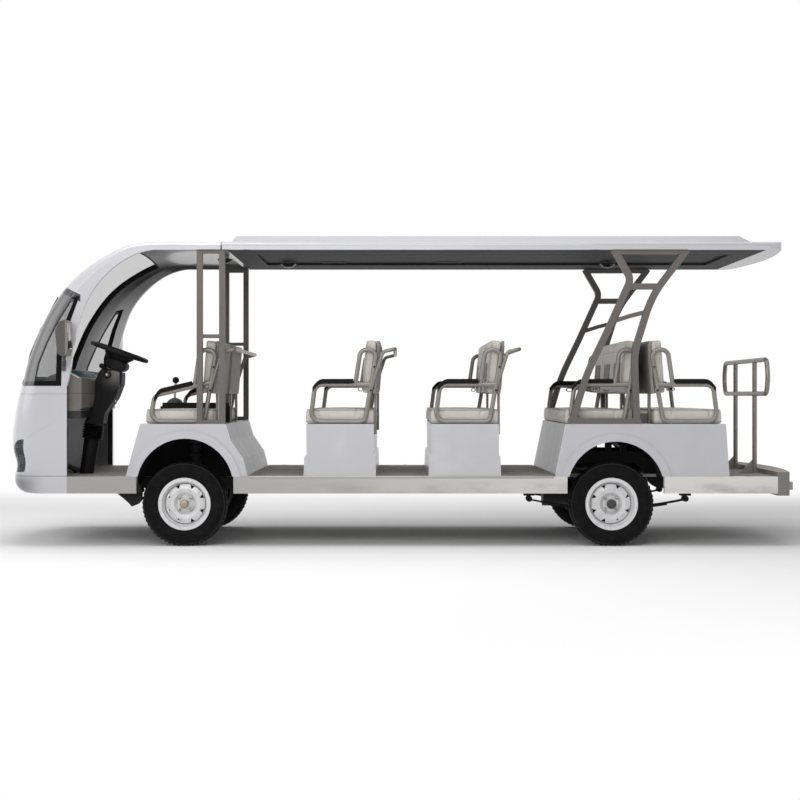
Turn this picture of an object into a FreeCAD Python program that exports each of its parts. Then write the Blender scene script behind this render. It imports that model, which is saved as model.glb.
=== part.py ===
import FreeCAD, Part
import math
import os
from FreeCAD import Vector

# Open electric sightseeing vehicle: five bench rows under one long roof, driver at the left.
# Millimetres.  +Z up, the nose points to -X, the driver's side is -Y, the ground is Z = 0.

# ---- whole vehicle ---------------------------------------------------------------------
OVERALL_LENGTH = 5200.0
BODY_WIDTH = 1490.0
SIDE_Y = BODY_WIDTH / 2
FRONT_X = -OVERALL_LENGTH / 2
REAR_X = OVERALL_LENGTH / 2
SEAT_GAP = 0.3             # how far a piece lies from the one that carries it

# ---- wheels and axles ------------------------------------------------------------------
WHEELBASE = 2762.0
FRONT_AXLE_X = -1372.0
REAR_AXLE_X = FRONT_AXLE_X + WHEELBASE
TYRE_RADIUS = 271.0
TYRE_WIDTH = 150.0
TYRE_CROWN = 108.0         # flat width of the running surface
AXLE_Z = TYRE_RADIUS
WHEEL_Y = 620.0            # middle of the tyre
RIM_SEAT_RADIUS = 152.0
RIM_FLANGE_RADIUS = 169.5
RIM_WIDTH = 114.0
RIM_WALL = 5.0
RIM_DISC_OFFSET = 24.0     # disc's distance outboard of the wheel's middle
RIM_DISC_THICKNESS = 7.0
RIM_HOLES = 8
RIM_HOLE_CIRCLE = 116.0
RIM_HOLE_SIZE = 19.0
HUB_RADIUS = 34.0
HUB_CAP_LENGTH = 34.0
HUB_DEPTH = 50.0           # from the disc's face back to the hub's inner end
SPINDLE_RADIUS = 17.0
RUNNING_GAP = 0.3

KINGPIN_Y = 560.0
KINGPIN_RADIUS = 12.0
KINGPIN_BARREL_RADIUS = 27.0
KNUCKLE_LOW_Z = 222.0
KNUCKLE_HIGH_Z = 330.0
ARM_THICKNESS = 22.0
ARM_EYE_RADIUS = 24.0
BACKING_PLATE_RADIUS = 122.0
BACKING_PLATE_THICKNESS = 8.0
STRUT_Y = 440.0
STRUT_SETBACK = 43.0       # strut stands this far behind the front axle
STRUT_COIL_RADIUS = 42.0
STRUT_ROD_RADIUS = 16.0
STRUT_TOP_Z = 660.0
TOWER_WIDTH = 80.0
TOWER_PLATE = 14.0
COIL_TURNS = 6
COIL_WIRE_RADIUS = 6.5

# ---- chassis ---------------------------------------------------------------------------
RAIL_Y = 350.0             # middle of each long rail
RAIL_WIDTH = 56.0
RAIL_HEIGHT = 80.0
RAIL_KICK_HEIGHT = 560.0   # middle of the rail where it passes over the rear axle
RAIL_FRONT_X = FRONT_X + 400
RAIL_REAR_X = REAR_X - 160
KICK_LENGTH = 470.0
KICK_SLOPE = 110.0
CROSS_WIDTH = 60.0
JACK_PAD_SIZE = 90.0
JACK_PAD_HEIGHT = 18.0

FLOOR_Z = 452.0            # top of the deck
FLOOR_THICKNESS = 18.0
SILL_HEIGHT = 108.0
SILL_DEPTH = 45.0
SILL_BOTTOM_Z = FLOOR_Z - SILL_HEIGHT

# ---- wheel arches ----------------------------------------------------------------------
ARCH_RADIUS = 312.0
FRONT_ARCH_X = -1359.0
FRONT_ARCH_TOP_Z = 696.0
REAR_ARCH_X = 1408.0
REAR_ARCH_TOP_Z = 677.0
FLARE_WIDTH = 50.0
FLARE_PROUD = 9.0
LINER_MARGIN = 16.0        # liner's radius over the arch's
LINER_WALL = 5.0
FRONT_WELL_Y = 392.0       # inboard face of the front wheel well
REAR_WELL_Y = 440.0

# ---- seat boxes ------------------------------------------------------------------------
BOX_TOP_Z = 790.0
BOX_WALL = 10.0
FRONT_BOX_TOP_FRONT_X = -1647.0
FRONT_BOX_TOP_REAR_X = -1101.0
FRONT_BOX_FOOT_FRONT_X = -1740.0
FRONT_BOX_FOOT_REAR_X = -960.0
FRONT_BOX_KNEE_X = -1070.0
FRONT_BOX_KNEE_Z = 683.0
FRONT_BOX_SHIN_X = -988.0
FRONT_BOX_SHIN_Z = 562.0
REAR_BOX_TOP_FRONT_X = 1089.0
REAR_BOX_TOP_REAR_X = 2115.0
REAR_BOX_FOOT_FRONT_X = 1020.0
REAR_BOX_FOOT_REAR_X = 2138.0
LOCKER_WIDTH = 1180.0
LOCKER_HEIGHT = 84.0

BENCH_PITCH = 803.0
BENCH_BASE_DEPTH = 434.0
BENCH_FOOT_FLARE = 18.0
BENCH_STEP_Z = 581.0
ROW_2_BACK_X = -146.0      # rear end of the second row's cushion
ROW_1_BACK_X = ROW_2_BACK_X - 1038.0
ROW_3_BACK_X = ROW_2_BACK_X + BENCH_PITCH
ROW_4_BACK_X = ROW_2_BACK_X + 1673.0
ROW_5_BACK_X = 1657.0

# ---- benches ---------------------------------------------------------------------------
CUSHION_DEPTH = 442.0
CUSHION_HEIGHT = 103.0
CUSHION_ROUND = 26.0
FRAME_Y = 722.0            # middle of the side hoops
INNER_FRAME_Y = 681.0      # rows 1 and 4 have their hoops inside the roof posts
TUBE_RADIUS = 14.5
HOOP_BOTTOM_RISE = TUBE_RADIUS + SEAT_GAP
HOOP_FRONT_REACH = 408.0
HOOP_ARM_REACH = 378.0
ARM_HEIGHT = 253.0         # middle of the armrest's tube over the box
ARCH_HEIGHT = 477.0
BACK_LEG_REACH = 58.0
ARCH_BACK_REACH = -20.0
ARCH_FRONT_REACH = 86.0
ARCH_FOOT_REACH = 120.0
DRIVER_ARM_DROP = 84.0
DRIVER_ARM_LIFT = 14.0     # its hoops stand this much taller than the other rows'
PAD_WIDTH = 44.0
PAD_THICKNESS = 19.0
PAD_START_REACH = 137.0
PAD_TIP_REACH = 404.0
PAD_TIP_DROP = 22.0

BACK_LOW = 196.0           # backrest's edges over the box
BACK_HIGH = 536.0
BACK_FOOT_FRONT_REACH = 61.0
BACK_TOP_FRONT_REACH = 28.0
BACK_FOOT_REAR_REACH = -33.0
BACK_TOP_REAR_REACH = -44.0
BACK_ROUND = 22.0
HANDLE_LOW = 210.0
HANDLE_FOOT_REACH = 23.0
HANDLE_KNEE = 464.0
HANDLE_KNEE_REACH = -57.0
HANDLE_HIGH = 482.0
HANDLE_REACH = -136.0
HANDLE_RADIUS = 12.0
STAY_DEPTH = 16.0
STAY_WIDTH = 40.0
STAY_INSET = 130.0
STAY_OVERLAP = 70.0        # how far a stay runs down the back of a bench pedestal
AISLE_HALF = 62.0          # half the gap between driver's and mate's seats

# ---- cab and nose ----------------------------------------------------------------------
COWL_REAR_X = FRONT_X + 484
COWL_TOP_Z = 1034.0
CAB_WALL = 35.0
NOSE_BOW = 104.0           # how far the nose's middle stands ahead of its shoulders
SHOULDER_Y = 600.0
CORNER_WIDTH = 100.0
ROOF_JOINT_X = FRONT_X + 1475
ROOF_SHOULDER_Z = 1974.0
ROOF_CROWN = 25.0
ROOF_EDGE_DROP = 25.0
ROOF_BOTTOM_Z = 1910.0

WINDSCREEN_HALF_WIDTH = 612.0
WINDSCREEN_LOW_Z = 1046.0
WINDSCREEN_TOP_X = FRONT_X + 852
SEAL_WIDTH = 12.0
GLASS_INSET = 4.0
GLASS_THICKNESS = 8.0

# ---- roof ------------------------------------------------------------------------------
ROOF_REAR_X = REAR_X - 48
ROOF_REAR_BOW = 62.0
ROOF_CORNER_RADIUS = 90.0
ROOF_WALL = 12.0
ROOF_RIM = 34.0
ROOF_TAIL_LENGTH = 170.0
HUMP_FRONT_X = ROOF_JOINT_X + 40
HUMP_REAR_X = REAR_X - 275
HUMP_HALF_WIDTH = 560.0
HUMP_HEIGHT = 46.0         # over the roof's shoulder
HUMP_SLOPE = 34.0
HUMP_TAIL = 75.0
CEILING_THICKNESS = 10.0
CEILING_RECESS_HALF = 372.0
CEILING_RECESS_DEPTH = 16.0

# ---- posts -----------------------------------------------------------------------------
FRONT_POST_Y = 716.0
POST_SIZE = 37.0
FRONT_POST_X = -1266.0
FRONT_POST_PITCH = 144.0
FRONT_RUNG_Z = 1354.0
REAR_POST_SIZE = 42.0
REAR_POST_Y = INNER_FRAME_Y + TUBE_RADIUS + SEAT_GAP + REAR_POST_SIZE / 2
REAR_RUNG_Z = 1674.0

# ---- driver's place --------------------------------------------------------------------
DRIVER_Y = -350.0
WHEEL_TILT = 19.3          # steering wheel's axis leans back this far from upright
WHEEL_RIM_RADIUS = 188.0
WHEEL_GRIP_RADIUS = 13.0
WHEEL_X = COWL_REAR_X + 261
WHEEL_Z = 1264.0
COLUMN_SHAFT_RADIUS = 11.0
HUB_DROP = 62.0
SHROUD_HALF_WIDTH = 62.0

# ---- rear platform ---------------------------------------------------------------------
STEP_FRONT_X = REAR_X - 154
STEP_CORNER_X = REAR_X - 79
STEP_TOP_Z = 482.0
STEP_BOTTOM_Z = 330.0
STEP_WALL = 6.0
RAIL_POST_Y = 270.0
RAIL_POST_X = REAR_X - 184
RAIL_TUBE_RADIUS = 15.5
RAIL_LOOP_LOW_Z = 985.0
RAIL_LOOP_HIGH_Z = 1208.0
RAIL_LOOP_HALF = 560.0
RAIL_LOOP_BULGE = 58.0

parts = {}


# ---- small tools -----------------------------------------------------------------------
def block(x0, x1, y0, y1, z0, z1):
    return Part.makeBox(x1 - x0, y1 - y0, z1 - z0, Vector(x0, y0, z0))


def both_sides(shape):
    """The shape and its mirror image in the plane Y = 0, in one list."""
    return [shape, shape.mirror(Vector(0, 0, 0), Vector(0, 1, 0))]


def fuse(shapes):
    whole = shapes[0]
    if len(shapes) > 1:
        whole = whole.fuse(shapes[1:])
    return whole.removeSplitter()


def cylinder_y(x, z, radius, y0, y1):
    low, high = min(y0, y1), max(y0, y1)
    return Part.makeCylinder(radius, high - low, Vector(x, low, z), Vector(0, 1, 0))


def side_wire(outline, y=0.0):
    """A closed wire of straight lines through (x, z) points in the plane Y = y."""
    points = [Vector(x, y, z) for x, z in outline]
    return Part.makePolygon(points + points[:1])


def side_prism(outline, y0, y1):
    return Part.Face(side_wire(outline, y0)).extrude(Vector(0, y1 - y0, 0))


def plan_prism(outline, z0, z1):
    points = [Vector(x, y, z0) for x, y in outline]
    return Part.Face(Part.makePolygon(points + points[:1])).extrude(Vector(0, 0, z1 - z0))


def front_prism(outline, x0, x1):
    points = [Vector(x0, y, z) for y, z in outline]
    return Part.Face(Part.makePolygon(points + points[:1])).extrude(Vector(x1 - x0, 0, 0))


def curve_edge(points, knots=None):
    """A smooth curve through the points, reaching each at its knot if knots are given."""
    curve = Part.BSplineCurve()
    if knots:
        curve.interpolate(Points=points, Parameters=knots)
    else:
        curve.interpolate(points)
    return curve.toShape()


def bent_path(corners, radii):
    """Straight runs through the corners, joined by tangent arcs of the given radii."""
    edges = []
    last = corners[0]
    for before, corner, after, radius in zip(corners, corners[1:], corners[2:], radii):
        back = (before - corner).normalize()
        ahead = (after - corner).normalize()
        half_angle = back.getAngle(ahead) / 2
        reach = radius / math.tan(half_angle)
        start = corner + back * reach
        end = corner + ahead * reach
        middle_way = (back + ahead).normalize()
        centre = corner + middle_way * (radius / math.sin(half_angle))
        middle = centre - middle_way * radius
        if (start - last).Length > 1e-6:
            edges.append(Part.makeLine(last, start))
        edges.append(Part.Arc(start, middle, end).toShape())
        last = end
    edges.append(Part.makeLine(last, corners[-1]))
    return Part.Wire(edges)


def round_tube(corners, radii, radius):
    path = bent_path(corners, radii)
    start = corners[0]
    along = corners[1] - corners[0]
    ring = Part.Wire(Part.Circle(start, along, radius).toShape())
    return path.makePipeShell([ring], True, False)


def flat_bar(corners, radii, thickness, width):
    """A bar swept along a path in a plane of constant Y: width lies along Y."""
    path = bent_path(corners, radii)
    start = corners[0]
    along = (corners[1] - corners[0]).normalize()
    across = Vector(0, 1, 0)
    up = along.cross(across)
    ring = []
    for side, rise in ((-1, -1), (1, -1), (1, 1), (-1, 1)):
        ring.append(start + across * (side * width / 2) + up * (rise * thickness / 2))
    profile = Part.makePolygon(ring + ring[:1])
    sweep = Part.BRepOffsetAPI.MakePipeShell(path)
    sweep.setBiNormalMode(across)
    sweep.add(profile)
    sweep.build()
    sweep.makeSolid()
    return sweep.shape()


def side_path(pairs, y):
    return [Vector(x, y, z) for x, z in pairs]


def keep(name, shapes):
    if not isinstance(shapes, list):
        shapes = [shapes]
    solids = []
    for shape in shapes:
        solids.extend(shape.Solids)
    parts[name] = Part.makeCompound(solids) if len(solids) > 1 else solids[0]


# ---- cab envelope ----------------------------------------------------------------------
# Each row is one point of the nose and roof line at the shoulder: x, z, how far the middle
# stands proud of the shoulder, and how far the line falls back round the corner.
NOSE_SHOULDER_X = FRONT_X + NOSE_BOW
NOSE_LINE = (
    (NOSE_SHOULDER_X + 100, SILL_BOTTOM_Z, 84, 100),
    (NOSE_SHOULDER_X + 52, SILL_BOTTOM_Z + 12, 88, 100),
    (NOSE_SHOULDER_X + 14, SILL_BOTTOM_Z + 58, 96, 100),
    (NOSE_SHOULDER_X + 18, SILL_BOTTOM_Z + 130, 98, 100),
    (NOSE_SHOULDER_X + 25, SILL_BOTTOM_Z + 187, 100, 100),
    (NOSE_SHOULDER_X + 10, SILL_BOTTOM_Z + 246, 102, 100),
    (NOSE_SHOULDER_X, SILL_BOTTOM_Z + 312, NOSE_BOW, 100),
    (NOSE_SHOULDER_X + 12, COWL_TOP_Z - 221, 104, 100),
    (NOSE_SHOULDER_X + 34, COWL_TOP_Z - 91, 100, 100),
    (NOSE_SHOULDER_X + 57, COWL_TOP_Z, 96, 98),
    (NOSE_SHOULDER_X + 95, COWL_TOP_Z + 156, 90, 94),
    (NOSE_SHOULDER_X + 149, COWL_TOP_Z + 302, 84, 88),
    (NOSE_SHOULDER_X + 204, COWL_TOP_Z + 428, 78, 82),
    (NOSE_SHOULDER_X + 264, COWL_TOP_Z + 531, 72, 76),
    (NOSE_SHOULDER_X + 349, COWL_TOP_Z + 649, 64, 68),
    (NOSE_SHOULDER_X + 481, COWL_TOP_Z + 772, 54, 56),
    (NOSE_SHOULDER_X + 567, COWL_TOP_Z + 829, 46, 48),
    (NOSE_SHOULDER_X + 682, ROOF_SHOULDER_Z - 49, 38, 38),
    (NOSE_SHOULDER_X + 769, ROOF_SHOULDER_Z - 16, 32, 32),
    (NOSE_SHOULDER_X + 884, ROOF_SHOULDER_Z - 2, 28, 27),
    (NOSE_SHOULDER_X + 1090, ROOF_SHOULDER_Z, ROOF_CROWN, ROOF_EDGE_DROP),
    (ROOF_JOINT_X, ROOF_SHOULDER_Z, ROOF_CROWN, ROOF_EDGE_DROP),
)


def nose_normals():
    """Unit vectors in the side view that point into the cab, one for each nose point."""
    normals = []
    last = len(NOSE_LINE) - 1
    for i in range(len(NOSE_LINE)):
        before = NOSE_LINE[max(i - 1, 0)]
        after = NOSE_LINE[min(i + 1, last)]
        dx, dz = after[0] - before[0], after[1] - before[1]
        if i < 3:
            dx, dz = 0.0, 1.0
        if i == last:
            dx, dz = 1.0, 0.0
        length = math.hypot(dx, dz)
        normals.append((dz / length, -dx / length))
    return normals


NOSE_NORMALS = nose_normals()
FLAT_STATIONS = (0.0, 230.0, 450.0, 580.0)
CORNER_ANGLES = (0.0, 22.5, 45.0, 67.5, 90.0)


def envelope_stations(inset):
    """(y, turn) across the cab: turn is the angle reached round the corner, in radians."""
    half = [(y, 0.0) for y in FLAT_STATIONS]
    for angle in CORNER_ANGLES:
        turn = math.radians(angle)
        y = SIDE_Y - CORNER_WIDTH + (CORNER_WIDTH - inset) * math.sin(turn)
        half.append((y, turn))
    return [(-y, turn) for y, turn in reversed(half[1:])] + half


def nose_knots():
    """How far along the nose line each of its points lies."""
    knots = [0.0]
    for (x0, z0, _, _), (x1, z1, _, _) in zip(NOSE_LINE, NOSE_LINE[1:]):
        knots.append(knots[-1] + math.hypot(x1 - x0, z1 - z0))
    return knots


def cab_envelope(inset):
    """The cab's outside form set in by inset; a set-in form runs on past the joint and floor."""
    overrun = CAB_WALL if inset else 0.0
    knots = nose_knots()
    wires = []
    for y, turn in envelope_stations(inset):
        points = []
        for (x, z, bow, fall), (nx, nz) in zip(NOSE_LINE, NOSE_NORMALS):
            depth = bow * ((y / SHOULDER_Y) ** 2 - 1)
            depth += fall - (fall - inset) * math.cos(turn)
            points.append(Vector(x + nx * depth, y, z + nz * depth))
        first, last = points[0], points[-1]
        loop = [last]
        if inset:
            loop.append(Vector(last.x + overrun, y, last.z))
        loop.append(Vector(ROOF_JOINT_X + overrun, y, first.z - overrun))
        if inset:
            loop.append(Vector(first.x, y, first.z - overrun))
        loop.append(first)
        lines = [Part.makeLine(a, b) for a, b in zip(loop, loop[1:])]
        wires.append(Part.Wire([curve_edge(points, knots)] + lines))
    return Part.makeLoft(wires, True, False)


BEYOND = 900.0             # reaches past the body on every side
LEFT_HALF = block(FRONT_X - BEYOND, REAR_X + BEYOND, -BEYOND, 0, -BEYOND, 3 * BEYOND)
ENVELOPE = {}


def half_envelope(inset):
    """The left half of the cab's form: the halves are cut apart and joined again at the end."""
    if inset not in ENVELOPE:
        ENVELOPE[inset] = cab_envelope(inset).common(LEFT_HALF)
    return ENVELOPE[inset]


def half_skin(outer_inset, inner_inset):
    return half_envelope(outer_inset).cut(half_envelope(inner_inset))


def join_halves(half):
    return fuse(both_sides(half))


# The rear edge of the cab's side frames, from the cowl up to the roof.
DOOR_EDGE = (
    (COWL_REAR_X, COWL_TOP_Z),
    (COWL_REAR_X + 24, COWL_TOP_Z + 110),
    (COWL_REAR_X + 44, COWL_TOP_Z + 262),
    (COWL_REAR_X + 78, COWL_TOP_Z + 405),
    (COWL_REAR_X + 134, COWL_TOP_Z + 560),
    (COWL_REAR_X + 175, COWL_TOP_Z + 628),
    (COWL_REAR_X + 260, COWL_TOP_Z + 726),
    (COWL_REAR_X + 407, ROOF_BOTTOM_Z - 44),
    (COWL_REAR_X + 556, ROOF_BOTTOM_Z),
)
# Quarter window: the front edge from the bottom up, then the rear edge from the top down.
QUARTER_OPENING = (
    (COWL_REAR_X - 216, COWL_TOP_Z),
    (COWL_REAR_X - 190, COWL_TOP_Z + 148),
    (COWL_REAR_X - 132, COWL_TOP_Z + 286),
    (COWL_REAR_X - 60, COWL_TOP_Z + 424),
    (COWL_REAR_X + 26, COWL_TOP_Z + 566),
    (COWL_REAR_X + 84, COWL_TOP_Z + 580),
    (COWL_REAR_X + 29, COWL_TOP_Z + 429),
    (COWL_REAR_X - 30, COWL_TOP_Z + 212),
    (COWL_REAR_X - 35, COWL_TOP_Z),
)
QUARTER_GLASS = (
    (COWL_REAR_X - 210, COWL_TOP_Z + 32),
    (COWL_REAR_X - 184, COWL_TOP_Z + 148),
    (COWL_REAR_X - 126, COWL_TOP_Z + 286),
    (COWL_REAR_X - 54, COWL_TOP_Z + 424),
    (COWL_REAR_X + 19, COWL_TOP_Z + 540),
    (COWL_REAR_X + 44, COWL_TOP_Z + 545),
    (COWL_REAR_X - 3, COWL_TOP_Z + 429),
    (COWL_REAR_X - 65, COWL_TOP_Z + 212),
    (COWL_REAR_X - 70, COWL_TOP_Z + 32),
)


def door_space():
    """Everything behind the cab's side frames and under the roof, right across."""
    edge_points = side_path(DOOR_EDGE, -BEYOND)
    curve = curve_edge(edge_points)
    low = SILL_BOTTOM_Z - BEYOND
    runs = side_path(((ROOF_JOINT_X + BEYOND, ROOF_BOTTOM_Z), (ROOF_JOINT_X + BEYOND, low),
                      (COWL_REAR_X, low)), -BEYOND)
    chain = [edge_points[-1]] + runs + [edge_points[0]]
    lines = [Part.makeLine(a, b) for a, b in zip(chain, chain[1:])]
    return Part.Face(Part.Wire([curve] + lines)).extrude(Vector(0, 2 * BEYOND, 0))


def screen_space(margin):
    """Where the windscreen lies, drawn in from its opening by margin."""
    half = WINDSCREEN_HALF_WIDTH - margin
    return block(FRONT_X - BEYOND, WINDSCREEN_TOP_X - margin, -half, half,
                 WINDSCREEN_LOW_Z + margin, ROOF_SHOULDER_Z + BEYOND)


def quarter_space(outline):
    return side_prism(outline, -SIDE_Y - BEYOND, -WINDSCREEN_HALF_WIDTH + 40)


def make_cab():
    skin = half_skin(0.0, CAB_WALL)
    below = block(FRONT_X - BEYOND, ROOF_JOINT_X + 1, -BEYOND, BEYOND, -BEYOND, COWL_TOP_Z)
    cowl_zone = block(FRONT_X - BEYOND, COWL_REAR_X, -BEYOND, BEYOND, -BEYOND, COWL_TOP_Z)
    cowl = skin.common(cowl_zone).cut(lamp_space())
    keep("front_cowl", join_halves(cowl))

    arch = skin.cut(below).cut(door_space()).cut(screen_space(0.0))
    arch = arch.cut(quarter_space(QUARTER_OPENING))
    keep("cab_arch", join_halves(arch))

    glass = half_skin(GLASS_INSET, GLASS_INSET + GLASS_THICKNESS)
    keep("windscreen", join_halves(glass.common(screen_space(SEAL_WIDTH))))
    keep("quarter_windows", both_sides(glass.common(quarter_space(QUARTER_GLASS))))

    screen_seal = skin.common(screen_space(0.0)).cut(screen_space(SEAL_WIDTH))
    quarter_seal = skin.common(quarter_space(QUARTER_OPENING))
    quarter_seal = quarter_seal.cut(quarter_space(QUARTER_GLASS))
    seals = [join_halves(screen_seal)] + both_sides(quarter_seal)
    keep("window_seals", seals)

    lamp = half_skin(LAMP_INSET, LAMP_DEPTH).common(lamp_space())
    keep("headlamps", both_sides(lamp))


LAMP_INSET = 5.0
LAMP_DEPTH = CAB_WALL
LAMP_LOW_Z = 482.0
LAMP_HIGH_Z = 692.0
LAMP_INNER_Y = 560.0
LAMP_OUTER_Y = 731.0


def lamp_space():
    """A slim upright lamp that leans outwards at its top, round the nose's left corner."""
    outline = ((-LAMP_OUTER_Y + 8, LAMP_LOW_Z), (-LAMP_INNER_Y - 70, LAMP_LOW_Z - 8),
               (-LAMP_INNER_Y - 16, LAMP_LOW_Z + 66), (-LAMP_INNER_Y, LAMP_HIGH_Z - 92),
               (-LAMP_OUTER_Y + 30, LAMP_HIGH_Z - 6), (-LAMP_OUTER_Y, LAMP_HIGH_Z))
    return front_prism(outline, FRONT_X - BEYOND, COWL_REAR_X - 160)


make_cab()


# ---- main roof -------------------------------------------------------------------------
def roof_rise(y, drop):
    """Height of the roof's skin at y, lowered by drop."""
    flat = ROOF_SHOULDER_Z + ROOF_CROWN * (1 - (y / SHOULDER_Y) ** 2)
    start = SIDE_Y - CORNER_WIDTH
    if abs(y) > start:
        turn = math.asin(min(1.0, (abs(y) - start) / CORNER_WIDTH))
        flat -= ROOF_EDGE_DROP * (1 - math.cos(turn))
    return flat - drop


def roof_plan(inset):
    """Half outline of the roof in plan, from the joint back to the rounded tail."""
    half = SIDE_Y - inset
    rear_side = ROOF_REAR_X - ROOF_REAR_BOW - inset
    corner = ROOF_CORNER_RADIUS
    points = [(ROOF_JOINT_X + SEAT_GAP, -half), (rear_side - corner, -half)]
    for angle in (22.5, 45.0, 67.5):
        turn = math.radians(angle)
        points.append((rear_side - corner + corner * math.sin(turn),
                       -half + corner - corner * math.cos(turn)))
    for share in (1.0, 0.66, 0.33):
        y = -(half - corner) * share
        points.append((rear_side + ROOF_REAR_BOW * (1 - share ** 2), y))
    points.append((rear_side + ROOF_REAR_BOW, 0.0))
    return points


def mirrored_plan(half):
    """The whole outline from its left half, whose last point is on the centre line."""
    return half + [(x, -y) for x, y in reversed(half[:-1])]


def roof_cross(inset, drop, low):
    """The roof's section across the vehicle, closed along z = low."""
    half = SIDE_Y - inset
    steps = 8
    start = SIDE_Y - CORNER_WIDTH
    left = [(-half, low)]
    for i in range(steps + 1):
        turn = math.radians(90.0 * (steps - i) / steps)
        y = -(start + (half - start) * math.sin(turn))
        left.append((y, roof_rise(y, drop)))
    for share in (0.75, 0.5, 0.25):
        y = -start * share
        left.append((y, roof_rise(y, drop)))
    right = [(-y, z) for y, z in reversed(left)]
    return left + [(0.0, roof_rise(0.0, drop))] + right


def roof_side(drop):
    """The roof in side view: level, then rounding down to a thin tail."""
    top = ROOF_SHOULDER_Z + ROOF_CROWN + 1
    tail = ROOF_REAR_X + 1
    points = [(ROOF_JOINT_X, ROOF_BOTTOM_Z - 50), (ROOF_JOINT_X, top)]
    for angle in (0.0, 20.0, 40.0, 60.0, 80.0):
        turn = math.radians(angle)
        points.append((tail - ROOF_TAIL_LENGTH * (1 - math.sin(turn)),
                       top - drop - (top - ROOF_BOTTOM_Z - 14) * (1 - math.cos(turn))))
    points += [(tail, ROOF_BOTTOM_Z + 12), (tail, ROOF_BOTTOM_Z - 50)]
    return points


def hump():
    """The raised middle panel: a shallow tray upside down with sloping edges."""
    low = ROOF_SHOULDER_Z - 40
    high = ROOF_SHOULDER_Z + HUMP_HEIGHT
    rings = []
    for z, shrink in ((low, 0.0), (ROOF_SHOULDER_Z, 0.0), (high, HUMP_SLOPE)):
        front = HUMP_FRONT_X + shrink
        rear = HUMP_REAR_X - shrink * HUMP_TAIL / HUMP_SLOPE
        half = HUMP_HALF_WIDTH - shrink
        rings.append(Part.makePolygon([
            Vector(front, -half, z), Vector(rear, -half, z), Vector(rear + 40, 0, z),
            Vector(rear, half, z), Vector(front, half, z), Vector(front, -half, z)]))
    return Part.makeLoft(rings, True, True)


def make_roof():
    plan = plan_prism(mirrored_plan(roof_plan(0.0)), ROOF_BOTTOM_Z, ROOF_BOTTOM_Z + 200)
    cross = front_prism(roof_cross(0.0, 0.0, ROOF_BOTTOM_Z), ROOF_JOINT_X, ROOF_REAR_X + 1)
    side = side_prism(roof_side(0.0), -SIDE_Y, SIDE_Y)
    outer = plan.common(cross).common(side).fuse(hump())
    inner_plan = plan_prism(mirrored_plan(roof_plan(ROOF_RIM)), ROOF_BOTTOM_Z - 1,
                            ROOF_SHOULDER_Z)
    inner_cross = front_prism(roof_cross(ROOF_RIM, ROOF_WALL, ROOF_BOTTOM_Z - 1),
                              ROOF_JOINT_X + ROOF_RIM, ROOF_REAR_X - ROOF_TAIL_LENGTH)
    inside = inner_plan.common(inner_cross)
    keep("roof_shell", outer.cut(inside))

    half = SIDE_Y - ROOF_RIM - SEAT_GAP
    front = ROOF_JOINT_X + ROOF_RIM + SEAT_GAP
    rear = ROOF_REAR_X - ROOF_TAIL_LENGTH - SEAT_GAP
    top = ROOF_BOTTOM_Z + CEILING_THICKNESS
    panel = block(front, rear, -half, half, ROOF_BOTTOM_Z, top)
    recess = block(front + 160, rear - 160, -CEILING_RECESS_HALF, CEILING_RECESS_HALF,
                   ROOF_BOTTOM_Z, ROOF_BOTTOM_Z + CEILING_RECESS_DEPTH)
    lid = block(front + 150, rear - 150, -CEILING_RECESS_HALF - 10, CEILING_RECESS_HALF + 10,
                ROOF_BOTTOM_Z, ROOF_BOTTOM_Z + CEILING_RECESS_DEPTH + CEILING_THICKNESS)
    keep("ceiling_panel", panel.fuse(lid).cut(recess).common(inside))


make_roof()


# ---- posts -----------------------------------------------------------------------------
def square_post(x, size, low, high):
    half = size / 2
    return block(x - half, x + half, -FRONT_POST_Y - half, -FRONT_POST_Y + half, low, high)


def make_front_posts():
    half = POST_SIZE / 2
    foot = BOX_TOP_Z
    rear_x = FRONT_POST_X + FRONT_POST_PITCH
    pieces = [square_post(FRONT_POST_X, POST_SIZE, foot, ROOF_BOTTOM_Z),
              square_post(rear_x, POST_SIZE, foot, ROOF_BOTTOM_Z)]
    for low, high in ((foot, foot + 26), (FRONT_RUNG_Z - 12, FRONT_RUNG_Z + 12),
                      (ROOF_BOTTOM_Z - 24, ROOF_BOTTOM_Z)):
        pieces.append(block(FRONT_POST_X, rear_x, -FRONT_POST_Y - half + 4,
                            -FRONT_POST_Y + half - 4, low, high))
    keep("front_post_frames", both_sides(fuse(pieces)))


REAR_FRONT_LEG = ((1399, ROOF_BOTTOM_Z), (1508, 1722), (1352, 1378), (1216, 1098),
                  (1128, BOX_TOP_Z))
REAR_BACK_LEG = ((1868, ROOF_BOTTOM_Z), (1640, 1610), (1528, 1250), (1544, BOX_TOP_Z))


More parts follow.
